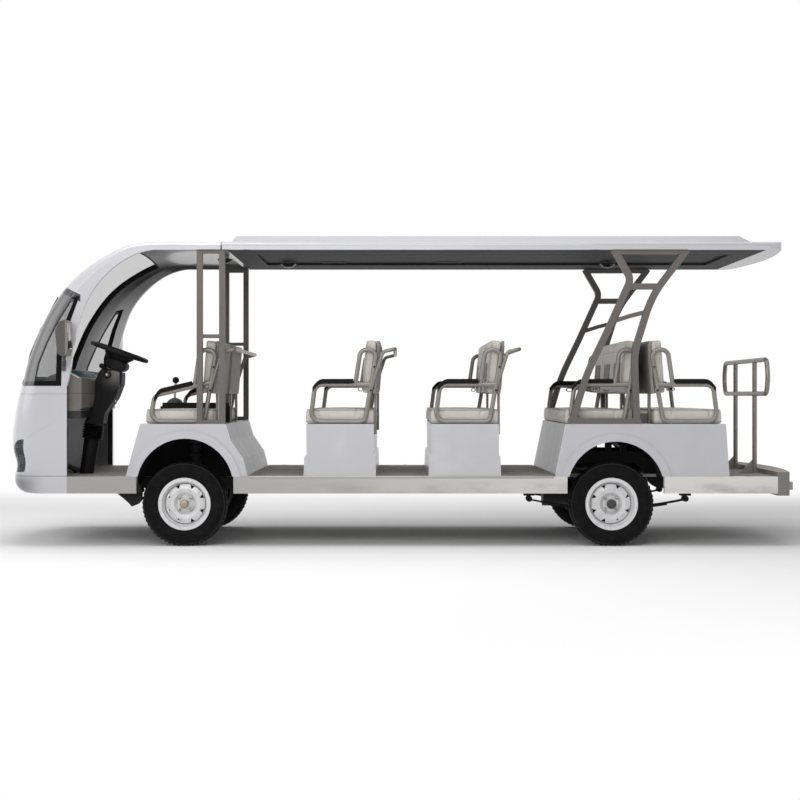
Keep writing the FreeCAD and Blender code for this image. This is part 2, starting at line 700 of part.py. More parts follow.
def make_rear_frames():
    half = REAR_POST_SIZE / 2
    front = flat_bar(side_path(REAR_FRONT_LEG, -REAR_POST_Y), (80, 900, 1500),
                     REAR_POST_SIZE, REAR_POST_SIZE)
    back = flat_bar(side_path(REAR_BACK_LEG, -REAR_POST_Y), (700, 500),
                    REAR_POST_SIZE, REAR_POST_SIZE)
    low = block(REAR_FRONT_LEG[-1][0] - 22, REAR_BACK_LEG[-1][0] + 26,
                -REAR_POST_Y - half, -REAR_POST_Y + half, BOX_TOP_Z, BOX_TOP_Z + 36)
    top = block(REAR_FRONT_LEG[0][0], REAR_BACK_LEG[0][0], -REAR_POST_Y - half + 3,
                -REAR_POST_Y + half - 3, ROOF_BOTTOM_Z - 28, ROOF_BOTTOM_Z)
    rung = block(REAR_FRONT_LEG[1][0] - 10, REAR_BACK_LEG[1][0] + 40, -REAR_POST_Y - half + 3,
                 -REAR_POST_Y + half - 3, REAR_RUNG_Z - 19, REAR_RUNG_Z + 19)
    grab = flat_bar(side_path(((1400, 1452), (1500, 1484), (1612, 1512)), -REAR_POST_Y), (100,),
                    28, 28)
    frame = fuse([front, back, low, top, rung, grab])
    ceiling = block(0, REAR_X, -SIDE_Y, 0, ROOF_BOTTOM_Z, ROOF_BOTTOM_Z + 200)
    cellar = block(0, REAR_X, -SIDE_Y, 0, 0, BOX_TOP_Z)
    frame = frame.cut(ceiling).cut(cellar)
    keep("rear_arch_frames", both_sides(frame))


make_front_posts()
make_rear_frames()


# ---- floor, sills and chassis ----------------------------------------------------------
def arch_centre_z(top_z):
    return top_z - ARCH_RADIUS


def well(x, top_z, inner_y):
    """The space a left wheel needs: an arched tunnel open below."""
    radius = ARCH_RADIUS + LINER_MARGIN
    z = arch_centre_z(top_z)
    tunnel = cylinder_y(x, z, radius, -SIDE_Y - BEYOND, -inner_y)
    legs = block(x - radius, x + radius, -SIDE_Y - BEYOND, -inner_y, z - BEYOND, z)
    return tunnel.fuse(legs)


def all_wells():
    wells = [well(FRONT_ARCH_X, FRONT_ARCH_TOP_Z, FRONT_WELL_Y),
             well(REAR_ARCH_X, REAR_ARCH_TOP_Z, REAR_WELL_Y)]
    return [side for shape in wells for side in both_sides(shape)]


def make_floor():
    bottom = FLOOR_Z - FLOOR_THICKNESS
    deck = block(COWL_REAR_X, STEP_FRONT_X, -SIDE_Y, SIDE_Y, bottom, FLOOR_Z)
    deck = deck.cut(sill_blocks()).cut(all_wells()).cut(frame_slots())
    toe_half = SIDE_Y - 2 * CAB_WALL
    toe = block(COWL_REAR_X - 180, COWL_REAR_X, -toe_half, toe_half, bottom, FLOOR_Z)
    keep("floor_deck", fuse([deck, toe]))


def frame_slots():
    """Slots in the deck where the rails rise over the axle and the strut towers stand."""
    half = RAIL_WIDTH / 2 + SEAT_GAP
    reach = KICK_LENGTH / 2 + KICK_SLOPE + RAIL_HEIGHT
    tower_x = FRONT_AXLE_X + STRUT_SETBACK
    tower_half = TOWER_WIDTH / 2 + SEAT_GAP
    slots = []
    for x0, x1 in ((REAR_AXLE_X - reach, REAR_AXLE_X + reach),
                   (tower_x - tower_half, tower_x + tower_half)):
        slots += both_sides(block(x0, x1, -RAIL_Y - half, -RAIL_Y + half, 0, FLOOR_Z + 1))
    slots += both_sides(block(tower_x - tower_half, tower_x + tower_half, -FRONT_WELL_Y - 1,
                              -RAIL_Y, 0, FLOOR_Z + 1))
    return slots


def sill_blocks():
    runs = ((COWL_REAR_X, FRONT_ARCH_X - ARCH_RADIUS), (FRONT_ARCH_X + ARCH_RADIUS,
            REAR_ARCH_X - ARCH_RADIUS), (REAR_ARCH_X + ARCH_RADIUS, STEP_FRONT_X))
    sills = []
    for x0, x1 in runs:
        sills += both_sides(block(x0, x1, -SIDE_Y, -SIDE_Y + SILL_DEPTH,
                                  SILL_BOTTOM_Z, FLOOR_Z))
    return sills


def rail_line():
    """The long rail's middle line in side view: level, over the rear axle, level again."""
    low = FLOOR_Z - FLOOR_THICKNESS - RAIL_HEIGHT / 2
    start = REAR_AXLE_X - KICK_LENGTH / 2
    end = REAR_AXLE_X + KICK_LENGTH / 2
    return ((RAIL_FRONT_X, low), (start - KICK_SLOPE, low), (start, RAIL_KICK_HEIGHT),
            (end, RAIL_KICK_HEIGHT), (end + KICK_SLOPE, low), (RAIL_REAR_X, low))


def make_chassis():
    half = RAIL_WIDTH / 2
    pieces = both_sides(flat_bar(side_path(rail_line(), -RAIL_Y), (60, 60, 60, 60),
                                 RAIL_HEIGHT, RAIL_WIDTH))
    top = FLOOR_Z - FLOOR_THICKNESS
    low = top - RAIL_HEIGHT
    reach = SIDE_Y - SILL_DEPTH
    for x in CROSS_MEMBER_X:
        pieces.append(block(x - CROSS_WIDTH / 2, x + CROSS_WIDTH / 2, -reach, reach,
                            low + 10, top))
    for x in (FRONT_AXLE_X - 90, FRONT_AXLE_X + 150):
        pieces.append(block(x - CROSS_WIDTH / 2, x + CROSS_WIDTH / 2,
                            -RAIL_Y, RAIL_Y, low, low + 50))
    for x in (REAR_AXLE_X + 28, REAR_AXLE_X + 126):
        post_low = RAIL_KICK_HEIGHT
        for post in both_sides(block(x - 18, x + 18, -RAIL_Y - half, -RAIL_Y + half,
                                     post_low, BOX_TOP_Z - BOX_WALL)):
            pieces.append(post)
    for x in SPRING_EYE_X:
        for hanger in both_sides(block(x - 34, x + 34, -SPRING_Y - 34, -SPRING_Y + 34,
                                       SPRING_EYE_Z + SPRING_EYE_RADIUS + SEAT_GAP, low + 12)):
            pieces.append(hanger)
    for x in JACK_X:
        for pad in both_sides(block(x - JACK_PAD_SIZE / 2, x + JACK_PAD_SIZE / 2,
                                    -RAIL_Y - JACK_PAD_SIZE / 2, -RAIL_Y + JACK_PAD_SIZE / 2,
                                    low - JACK_PAD_HEIGHT, low)):
            pieces.append(pad)
    tower_x = FRONT_AXLE_X + STRUT_SETBACK
    tower_half = TOWER_WIDTH / 2
    for tower in both_sides(fuse([
            block(tower_x - tower_half, tower_x + tower_half, -RAIL_Y - half, -RAIL_Y + half,
                  top - 20, STRUT_TOP_Z + TOWER_PLATE),
            block(tower_x - tower_half, tower_x + tower_half, -STRUT_Y - tower_half,
                  -RAIL_Y + half, STRUT_TOP_Z, STRUT_TOP_Z + TOWER_PLATE)])):
        pieces.append(tower)
    keep("chassis_frame", fuse(pieces))


SPRING_Y = 465.0
SPRING_EYE_Z = 292.0
SPRING_EYE_RADIUS = 20.0
SPRING_HALF = 516.0
SPRING_EYE_X = (REAR_AXLE_X - SPRING_HALF, REAR_AXLE_X + SPRING_HALF)
CROSS_MEMBER_X = ((COWL_REAR_X + 36, -1740.0, -985.0, -360.0, 380.0) + SPRING_EYE_X
                  + (REAR_X - 270,))
JACK_X = (-900.0, 600.0)

make_floor()
keep("side_sills", sill_blocks())
make_chassis()


# ---- seat boxes and wheel arches -------------------------------------------------------
def front_box_outline(wall):
    return ((FRONT_BOX_FOOT_FRONT_X + wall, FLOOR_Z), (FRONT_BOX_TOP_FRONT_X + wall,
            BOX_TOP_Z - wall), (FRONT_BOX_TOP_REAR_X - wall, BOX_TOP_Z - wall),
            (FRONT_BOX_KNEE_X - wall, FRONT_BOX_KNEE_Z), (FRONT_BOX_SHIN_X - wall,
            FRONT_BOX_SHIN_Z), (FRONT_BOX_FOOT_REAR_X - wall, FLOOR_Z))


def rear_box_outline(wall):
    return ((REAR_BOX_FOOT_FRONT_X + wall, FLOOR_Z), (REAR_BOX_TOP_FRONT_X + wall,
            BOX_TOP_Z - wall), (REAR_BOX_TOP_REAR_X - wall, BOX_TOP_Z - wall),
            (REAR_BOX_FOOT_REAR_X - wall, FLOOR_Z))


def arch_opening(x, top_z):
    z = arch_centre_z(top_z)
    hole = cylinder_y(x, z, ARCH_RADIUS, -SIDE_Y - BEYOND, SIDE_Y + BEYOND)
    return hole.fuse(block(x - ARCH_RADIUS, x + ARCH_RADIUS, -SIDE_Y - BEYOND,
                           SIDE_Y + BEYOND, z - BEYOND, z))


def flare(x, top_z):
    """The raised lip round a wheel opening, on the left."""
    z = arch_centre_z(top_z)
    outer = cylinder_y(x, z, ARCH_RADIUS + FLARE_WIDTH, -SIDE_Y, -SIDE_Y + FLARE_PROUD)
    inner = cylinder_y(x, z, ARCH_RADIUS, -SIDE_Y - 1, -SIDE_Y + FLARE_PROUD + 1)
    ring = outer.cut(inner)
    upper = block(x - BEYOND, x + BEYOND, -SIDE_Y - 1, 0, FLOOR_Z, 3 * BEYOND)
    return ring.common(upper)


def box_with_arches(outline, x, top_z):
    """A moulded seat box: thin walls, open below, the flares proud of its sides."""
    side = SIDE_Y - FLARE_PROUD
    outer = side_prism(outline(0.0), -side, side)
    inner_side = side - BOX_WALL
    inner = side_prism(outline(BOX_WALL), -inner_side, inner_side)
    cellar = block(x - BEYOND, x + BEYOND, -inner_side, inner_side, 0, FLOOR_Z)
    inner = inner.fuse(side_prism(((outline(BOX_WALL)[0][0], FLOOR_Z - 20),
                                   (outline(BOX_WALL)[-1][0], FLOOR_Z - 20),
                                   (outline(BOX_WALL)[-1][0], FLOOR_Z + 1),
                                   (outline(BOX_WALL)[0][0], FLOOR_Z + 1)),
                                  -inner_side, inner_side))
    shell = outer.cut(inner).cut(arch_opening(x, top_z))
    return fuse([shell] + both_sides(flare(x, top_z)))


def wheel_liner(x, top_z, inner_y, closed):
    """A plastic tunnel over a left wheel, with an inboard wall if it is closed."""
    z = arch_centre_z(top_z)
    radius = ARCH_RADIUS + LINER_MARGIN
    outer_y = SIDE_Y - FLARE_PROUD - BOX_WALL - SEAT_GAP
    outer = cylinder_y(x, z, radius, -outer_y, -inner_y)
    hole_end = inner_y + LINER_WALL if closed else inner_y - 1
    inner = cylinder_y(x, z, radius - LINER_WALL, -outer_y - 1, -hole_end)
    upper = block(x - BEYOND, x + BEYOND, -SIDE_Y, 0, FLOOR_Z - FLOOR_THICKNESS + 1,
                  3 * BEYOND)
    return outer.cut(inner).common(upper).cut(sill_blocks())


def make_boxes():
    front = box_with_arches(front_box_outline, FRONT_ARCH_X, FRONT_ARCH_TOP_Z)
    keep("front_seat_box", front)
    rear = box_with_arches(rear_box_outline, REAR_ARCH_X, REAR_ARCH_TOP_Z)
    locker_x = (ROW_4_BACK_X + ROW_5_BACK_X) / 2
    gap = STAY_DEPTH + 4
    locker = block(ROW_4_BACK_X + gap, ROW_5_BACK_X - gap, -LOCKER_WIDTH / 2,
                   LOCKER_WIDTH / 2, BOX_TOP_Z, BOX_TOP_Z + LOCKER_HEIGHT)
    keep("rear_seat_box", fuse([rear, locker]))
    tower_x = FRONT_AXLE_X + STRUT_SETBACK
    margin = TOWER_WIDTH / 2 + SEAT_GAP
    tower_cut = block(tower_x - margin, tower_x + margin, -STRUT_Y - margin, 0, 0,
                      STRUT_TOP_Z + TOWER_PLATE + SEAT_GAP)
    front_liner = wheel_liner(FRONT_ARCH_X, FRONT_ARCH_TOP_Z, FRONT_WELL_Y, True)
    rear_liner = wheel_liner(REAR_ARCH_X, REAR_ARCH_TOP_Z, REAR_WELL_Y, False)
    keep("wheel_liners", both_sides(front_liner.cut(tower_cut)) + both_sides(rear_liner))


def bench_base(back_x):
    """A moulded bench pedestal with a slightly wider foot, open below."""
    side = SIDE_Y - 6
    front = back_x - BENCH_BASE_DEPTH
    flare_out = BENCH_FOOT_FLARE
    outline = ((front - flare_out, FLOOR_Z), (front - flare_out + 6, BENCH_STEP_Z),
               (front + 2, BENCH_STEP_Z + 8), (front, BOX_TOP_Z), (back_x, BOX_TOP_Z),
               (back_x, BENCH_STEP_Z + 8), (back_x + flare_out - 8, BENCH_STEP_Z),
               (back_x + flare_out - 4, FLOOR_Z))
    outer = side_prism(outline, -side, side)
    wall = BOX_WALL
    inner = block(front + wall, back_x - wall, -side + wall, side - wall, FLOOR_Z - 1,
                  BOX_TOP_Z - wall)
    return outer.cut(inner)


make_boxes()
keep("middle_seat_bases", [bench_base(ROW_2_BACK_X), bench_base(ROW_3_BACK_X)])
BATTERY_GAP = 30.0
keep("battery_pack", block(ROW_2_BACK_X - BENCH_BASE_DEPTH + BATTERY_GAP,
                           ROW_2_BACK_X - BATTERY_GAP, -600, 600, FLOOR_Z, BOX_TOP_Z - 90))


# ---- benches ---------------------------------------------------------------------------
class Seat:
    """Places one bench: reach is measured forwards from its back, rise from its box."""

    def __init__(self, back_x, facing=-1):
        self.back_x = back_x
        self.facing = facing

    def point(self, reach, rise, y):
        return Vector(self.back_x + self.facing * reach, y, BOX_TOP_Z + rise)

    def prism(self, outline, y0, y1):
        return side_prism([(self.back_x + self.facing * reach, BOX_TOP_Z + rise)
                           for reach, rise in outline], y0, y1)


SEATS = (Seat(ROW_1_BACK_X), Seat(ROW_2_BACK_X), Seat(ROW_3_BACK_X), Seat(ROW_4_BACK_X),
         Seat(ROW_5_BACK_X, 1))


def seat_frame(seat, frame_y, arm_height, arm_drop, has_handle):
    """Bent tube hoops at both ends, and a grab handle behind the backrest if it has one."""
    low = HOOP_BOTTOM_RISE
    pieces = []
    for y in (-frame_y, frame_y):
        front_hoop = [seat.point(230, low, y), seat.point(HOOP_FRONT_REACH, low, y),
                      seat.point(HOOP_ARM_REACH, arm_height - arm_drop, y),
                      seat.point(20, arm_height, y)]
        pieces.append(round_tube(front_hoop, (60, 52), TUBE_RADIUS))
        back_hoop = [seat.point(230, low, y), seat.point(BACK_LEG_REACH, low, y),
                     seat.point(ARCH_BACK_REACH, ARCH_HEIGHT, y),
                     seat.point(ARCH_FRONT_REACH, ARCH_HEIGHT, y),
                     seat.point(ARCH_FOOT_REACH, ARM_HEIGHT - 8, y)]
        pieces.append(round_tube(back_hoop, (40, 46, 46), TUBE_RADIUS))
    if has_handle:
        half = [seat.point(HANDLE_FOOT_REACH, HANDLE_LOW, -frame_y),
                seat.point(HANDLE_KNEE_REACH, HANDLE_KNEE, -frame_y),
                seat.point(HANDLE_REACH, HANDLE_HIGH, -frame_y)]
        other = [Vector(point.x, -point.y, point.z) for point in reversed(half)]
        pieces.append(round_tube(half + other, (36, 34, 34, 36), HANDLE_RADIUS))
    return fuse(pieces)


def cushion(seat, y0, y1):
    depth = CUSHION_DEPTH
    top = CUSHION_HEIGHT
    r = CUSHION_ROUND
    outline = ((0, SEAT_GAP), (depth, SEAT_GAP), (depth + 4, top - r), (depth - 8, top - 8),
               (depth - r, top), (r, top), (0, top - r))
    return seat.prism(outline, y0, y1)


def backrest(seat, y0, y1):
    r = BACK_ROUND
    outline = ((BACK_FOOT_REAR_REACH, BACK_LOW), (BACK_FOOT_FRONT_REACH - 12, BACK_LOW),
               (BACK_FOOT_FRONT_REACH, BACK_LOW + 16),
               (BACK_TOP_FRONT_REACH + 4, BACK_HIGH - r), (BACK_TOP_FRONT_REACH - 14, BACK_HIGH),
               (BACK_TOP_REAR_REACH + 8, BACK_HIGH), (BACK_TOP_REAR_REACH, BACK_HIGH - 12))
    return seat.prism(outline, y0, y1)


def back_stay(seat, y, drop):
    """A flat steel stay behind the cushion that carries the backrest."""
    outline = ((-STAY_DEPTH, -drop), (-SEAT_GAP, -drop), (-SEAT_GAP, BACK_LOW),
               (-STAY_DEPTH, BACK_LOW))
    return seat.prism(outline, y - STAY_WIDTH / 2, y + STAY_WIDTH / 2)


def armrest(seat, y0, y1, arm_height, arm_drop):
    slope = arm_drop / (HOOP_ARM_REACH - 20)
    tube_top = TUBE_RADIUS * math.hypot(1, slope) + SEAT_GAP

    def rise(reach):
        return arm_height + tube_top - slope * (reach - 20)

    start, tip = PAD_START_REACH, PAD_TIP_REACH
    lip = tip - 36
    outline = ((start, rise(start)), (lip, rise(lip)), (tip, rise(tip) - PAD_TIP_DROP),
               (tip + 8, rise(tip) - PAD_TIP_DROP + 6), (lip + 4, rise(lip) + PAD_THICKNESS),
               (start, rise(start) + PAD_THICKNESS))
    return seat.prism(outline, y0, y1)


def seat_plan(row):
    """Where a row's hoops stand and how wide its cushions are, each side of the middle."""
    frame_y = INNER_FRAME_Y if row in (1, 4) else FRAME_Y
    return frame_y, frame_y - TUBE_RADIUS - SEAT_GAP


def make_seats():
    frames, cushions, backs, pads = [], [], [], []
    for row, seat in enumerate(SEATS, start=1):
        drop = DRIVER_ARM_DROP if row == 1 else 0.0
        height = ARM_HEIGHT + (DRIVER_ARM_LIFT if row == 1 else 0.0)
        frame_y, inner = seat_plan(row)
        frames.append(seat_frame(seat, frame_y, height, drop, row < 4))
        spans = [(-inner, inner)]
        if row == 1:
            spans = [(-inner, -AISLE_HALF), (AISLE_HALF, inner)]
        for y0, y1 in spans:
            cushions.append(cushion(seat, y0, y1))
            backs.append(backrest(seat, y0, y1))
            stay_drop = STAY_OVERLAP if row in (2, 3) else 0.0
            for y in (y0 + STAY_INSET, y1 - STAY_INSET):
                frames.append(back_stay(seat, y, stay_drop))
        outer = frame_y + (TUBE_RADIUS if row in (1, 4) else PAD_WIDTH / 2)
        pads += both_sides(armrest(seat, -outer, PAD_WIDTH / 2 - frame_y, height, drop))
    keep("seat_frames", frames)
    keep("seat_cushions", cushions)
    keep("seat_backs", backs)
    keep("armrest_pads", pads)


make_seats()


# ---- driver's place --------------------------------------------------------------------
TILT = math.radians(WHEEL_TILT)
WHEEL_AXIS = Vector(math.sin(TILT), 0, math.cos(TILT))
WHEEL_CENTRE = Vector(WHEEL_X, DRIVER_Y, WHEEL_Z)
HUB_FACE = WHEEL_CENTRE - WHEEL_AXIS * HUB_DROP
COLUMN_WAIST = WHEEL_CENTRE - WHEEL_AXIS * 515
SHROUD_FRONT = 160.0       # reach of the shroud in front of the wheel's centre
SHROUD_WAIST_FRONT = 56.0
SHROUD_KNEE_Z = 905.0
DASH_HALF = SIDE_Y - CAB_WALL - 12
DASH_REACH = 108.0         # rear of the moulding behind the cab's rear edge, at the column
DASH_DRIVER_END = 84.0     # the same at its two ends, where it curves away
DASH_FAR_END = 21.0


def make_dashboard():
    """One moulding across the cab: a hump over the instruments and a round-bottomed tray."""
    rear = COWL_REAR_X + DASH_REACH
    outline = [(rear - 8, 1080), (rear - 116, 1138), (rear - 230, 1100), (rear - 302, 1044),
               (rear - 302, 1012), (rear - 180, 880), (rear - 46, 876), (rear - 14, 898),
               (rear, 950), (rear, 1062)]
    body = side_prism(outline, -DASH_HALF, DASH_HALF)
    pocket = block(COWL_REAR_X - 110, rear + 10, DRIVER_Y + 260, DASH_HALF - 60, 960, 1040)
    lower = block(COWL_REAR_X - 30, COWL_REAR_X + DASH_REACH - 28, -DASH_HALF, 0, 826, 880)
    panel_wall = COWL_REAR_X - 150
    bulkhead = block(panel_wall, panel_wall + 12, -DASH_HALF, DASH_HALF, FLOOR_Z, 980)
    half = SHROUD_HALF_WIDTH + SEAT_GAP
    slots = [block(front - SEAT_GAP, WHEEL_X + 100, DRIVER_Y - half, DRIVER_Y + half, low, high)
             for front, low, high in ((WHEEL_X - SHROUD_FRONT, SHROUD_KNEE_Z, 1300),
                                      (COLUMN_WAIST.x - SHROUD_WAIST_FRONT, 700, SHROUD_KNEE_Z))]
    behind = rear + 20
    past = DASH_HALF + 20
    taper = []
    for start_y, end, side in ((DRIVER_Y - half, DASH_DRIVER_END, -1), (0, DASH_FAR_END, 1)):
        end_x = COWL_REAR_X + end
        taper.append(plan_prism([(behind, start_y), (rear, start_y), (end_x, side * DASH_HALF),
                                 (end_x, side * past), (behind, side * past)], 700, 1300))
    keep("dashboard", fuse([body, lower, bulkhead]).cut(fuse(slots + taper + [pocket])))


def make_column():
    """Shroud, gaiter and lower tube from the floor to the steering wheel's hub."""
    y = DRIVER_Y
    top = HUB_FACE - WHEEL_AXIS * SEAT_GAP
    waist = COLUMN_WAIST
    head = [(WHEEL_X - 100, 1160), (WHEEL_X + 28, 1124), (WHEEL_X + 25, 1046),
            (WHEEL_X - 10, 954), (WHEEL_X - 86, 852), (waist.x + 72, waist.z + 8),
            (waist.x - SHROUD_WAIST_FRONT, waist.z + 8), (WHEEL_X - SHROUD_FRONT, SHROUD_KNEE_Z),
            (WHEEL_X - 152, 1030), (WHEEL_X - 146, 1076), (WHEEL_X - 128, 1126)]
    shroud = side_prism(head, y - SHROUD_HALF_WIDTH, y + SHROUD_HALF_WIDTH)
    neck = Part.makeCone(46, 40, 62, top - WHEEL_AXIS * 62, WHEEL_AXIS)
    pieces = [shroud, neck]
    down = (Vector(WHEEL_X - 221, y, FLOOR_Z) - waist).normalize()
    for ring in range(GAITER_RINGS):
        start = waist + down * (ring * GAITER_PITCH)
        pieces.append(Part.makeCone(GAITER_VALLEY, GAITER_CREST, GAITER_PITCH / 2, start, down))
        pieces.append(Part.makeCone(GAITER_CREST, GAITER_VALLEY, GAITER_PITCH / 2,
                                    start + down * (GAITER_PITCH / 2), down))
    tube_start = waist + down * (GAITER_RINGS * GAITER_PITCH - 5)
    length = (tube_start.z - FLOOR_Z) / -down.z + 20
    tube = Part.makeCone(50, 45, length, tube_start, down)
    pieces.append(tube)
    shaft = Part.makeCylinder(COLUMN_SHAFT_RADIUS, 40, top, WHEEL_AXIS)
    pieces.append(shaft)
    stalk = round_tube([Vector(WHEEL_X - 50, y - 40, 1120), Vector(WHEEL_X - 66, y - 110, 1148),
                        Vector(WHEEL_X - 82, y - 180, 1168)], (40,), 7)
    pieces.append(stalk)
    pieces.append(Part.makeSphere(17, Vector(WHEEL_X - 82, y - 180, 1168)))
    whole = fuse(pieces)
    cellar = block(WHEEL_X - 400, WHEEL_X + 100, y - 200, y + 200, 0, FLOOR_Z)
    keep("steering_column", whole.cut(cellar))


GAITER_RINGS = 6
GAITER_PITCH = 16.0
GAITER_VALLEY = 56.0
GAITER_CREST = 73.0


def make_steering_wheel():
    rim = Part.makeTorus(WHEEL_RIM_RADIUS, WHEEL_GRIP_RADIUS, WHEEL_CENTRE, WHEEL_AXIS)
    hub = Part.makeCone(44, 58, HUB_DROP - 14, HUB_FACE, WHEEL_AXIS)
    socket = Part.makeCylinder(COLUMN_SHAFT_RADIUS + RUNNING_GAP, 41, HUB_FACE, WHEEL_AXIS)
    pieces = [rim, hub]
    for turn in WHEEL_SPOKES:
        level = Part.makeBox(WHEEL_RIM_RADIUS - 30, 34, 9, Vector(30, -17, -28))
        spoke = level.copy()
        spoke.rotate(Vector(0, 0, 0), Vector(0, 1, 0), -7)
        spoke.rotate(Vector(0, 0, 0), Vector(0, 0, 1), turn)
        spoke.rotate(Vector(0, 0, 0), Vector(0, 1, 0), WHEEL_TILT)
        spoke.translate(WHEEL_CENTRE)
        pieces.append(spoke)
    keep("steering_wheel", fuse(pieces).cut(socket))


WHEEL_SPOKES = (-60.0, 60.0, 180.0)


def make_pedals():
    """Accelerator and brake: low wedges on the toe floor, each with a sloping tread."""
    x, foot = COWL_REAR_X, FLOOR_Z + SEAT_GAP
    outline = ((x - 34, foot), (x - 30, foot + 16), (x - 122, foot + 52), (x - 132, foot + 42),
               (x - 56, foot + 12), (x - 62, foot))
    keep("pedals", [side_prism(outline, y - width / 2, y + width / 2)
                    for y, width in ((DRIVER_Y + 78, 72), (DRIVER_Y + 172, 58))])


def make_console():
    """Black cover between the front seats, with the hand brake's gate and lever."""
    start = ROW_1_BACK_X
    top = BOX_TOP_Z + CUSHION_HEIGHT
    half = AISLE_HALF - SEAT_GAP
    box = block(start - 446, start + 34, -half, half, BOX_TOP_Z, top + 6)
    cover = block(start - 434, start + 26, -half + 8, half - 8, top + 5, top + 30)
    dome = Part.makeSphere(62, Vector(start - 356, 0, top + 2))
    upper = block(start - 500, start, -half, half, top + 6, top + 200)
    lever = round_tube([Vector(start - 356, 0, top + 40), Vector(start - 355, 0, top + 120),
                        Vector(start - 350, 0, top + 176)], (90,), 8)
    knob = Part.makeSphere(23, Vector(start - 349, 0, top + 186))
    keep("driver_console", fuse([box, cover, dome.common(upper), lever, knob]))


make_dashboard()
make_column()
make_steering_wheel()
make_pedals()
make_console()


# ---- mirrors, wiper, lamps -------------------------------------------------------------
MIRROR_Y = 842.0
MIRROR_WIDTH = 132.0
MIRROR_LOW_Z = 1222.0
MIRROR_HIGH_Z = 1452.0
MIRROR_X = COWL_REAR_X + 8


def make_mirrors():
    half = MIRROR_WIDTH / 2
    outline = ((MIRROR_X - 30, MIRROR_LOW_Z + 14), (MIRROR_X - 2, MIRROR_LOW_Z),
               (MIRROR_X + 22, MIRROR_LOW_Z + 4), (MIRROR_X + 34, MIRROR_LOW_Z + 40),
               (MIRROR_X + 30, MIRROR_HIGH_Z - 12), (MIRROR_X + 16, MIRROR_HIGH_Z),
               (MIRROR_X - 20, MIRROR_HIGH_Z - 14), (MIRROR_X - 44, MIRROR_HIGH_Z - 70))
    housing = side_prism(outline, -MIRROR_Y - half, -MIRROR_Y + half)
    inner_y = -SIDE_Y - SEAT_GAP
    arm = round_tube([Vector(MIRROR_X - 6, -MIRROR_Y, MIRROR_LOW_Z + 30),
                      Vector(MIRROR_X - 6, -MIRROR_Y + 20, MIRROR_LOW_Z - 34),
                      Vector(MIRROR_X - 26, inner_y + 10, MIRROR_LOW_Z - 52)], (24,), 11)
    plate = block(MIRROR_X - 40, MIRROR_X - 14, inner_y - 10, inner_y,
                  MIRROR_LOW_Z - 92, MIRROR_LOW_Z - 26)
    body = block(MIRROR_X - 80, MIRROR_X + 80, inner_y, 0, MIRROR_LOW_Z - 200, MIRROR_HIGH_Z)
    keep("mirrors", both_sides(fuse([housing, arm, plate]).cut(body)))


WIPER_Y = -150.0


def screen_point(height, y, proud):
    """A point on the windscreen at a height, stood off its face by proud."""
    rows = list(zip(NOSE_LINE, NOSE_NORMALS))
    for (low, low_n), (high, high_n) in zip(rows, rows[1:]):
        if low[1] <= height <= high[1] and low[1] > COWL_TOP_Z - 100:
            share = (height - low[1]) / (high[1] - low[1])
            x = low[0] + share * (high[0] - low[0])
            bow = low[2] + share * (high[2] - low[2])
            nx, nz = low_n
            depth = bow * ((y / SHOULDER_Y) ** 2 - 1) - proud
            return Vector(x + nx * depth, y, height + nz * depth)
    raise ValueError("no windscreen at this height")


def make_wiper():
    """A twin-rod wiper that lies up the screen from its spindle under the glass."""
    root = screen_point(COWL_TOP_Z + 4, WIPER_Y, 16)
    elbow = screen_point(COWL_TOP_Z + 190, WIPER_Y - 60, 24)
    foot = screen_point(COWL_TOP_Z + 172, WIPER_Y - 40, 12)
    tip = screen_point(COWL_TOP_Z + 560, WIPER_Y - 240, 14)
    middle = screen_point(COWL_TOP_Z + 370, WIPER_Y - 140, 16)
    boss_axis = Vector(NOSE_NORMALS[9][0], 0, NOSE_NORMALS[9][1])
    boss = Part.makeCylinder(16, 26, root - boss_axis * 12, boss_axis)
    pieces = [boss]
    for spread in (-9.0, 9.0):
        side = Vector(0, spread, 0)
        pieces.append(round_tube([root + side, elbow + side, middle], (120,), 4.5))
    pieces.append(round_tube([foot, middle, tip], (2500,), 6))
    wiper = fuse(pieces)
    keep("wiper", wiper.cut(half_and_half_envelope()))


def half_and_half_envelope():
    left = half_envelope(0.0)
    return left.fuse(left.mirror(Vector(0, 0, 0), Vector(0, 1, 0)))


def step_outline(inset):
    """The rear step in plan, with its bowed rear edge."""
    half = SIDE_Y - inset
    points = [(STEP_FRONT_X + inset, -half), (STEP_CORNER_X - inset, -half)]
    for share in (0.75, 0.5, 0.25, 0.0):
        rear = STEP_CORNER_X + (REAR_X - STEP_CORNER_X) * (1 - share ** 2)
        points.append((rear - inset, -half * share))
    return mirrored_plan(points)


def make_rear_step():
    """Folded steel step across the tail, open inside and below."""
    outer = plan_prism(step_outline(0.0), STEP_BOTTOM_Z, STEP_TOP_Z)
    inner = plan_prism(step_outline(STEP_WALL), STEP_BOTTOM_Z - 1, STEP_TOP_Z - STEP_WALL)
    keep("rear_step", outer.cut(inner))


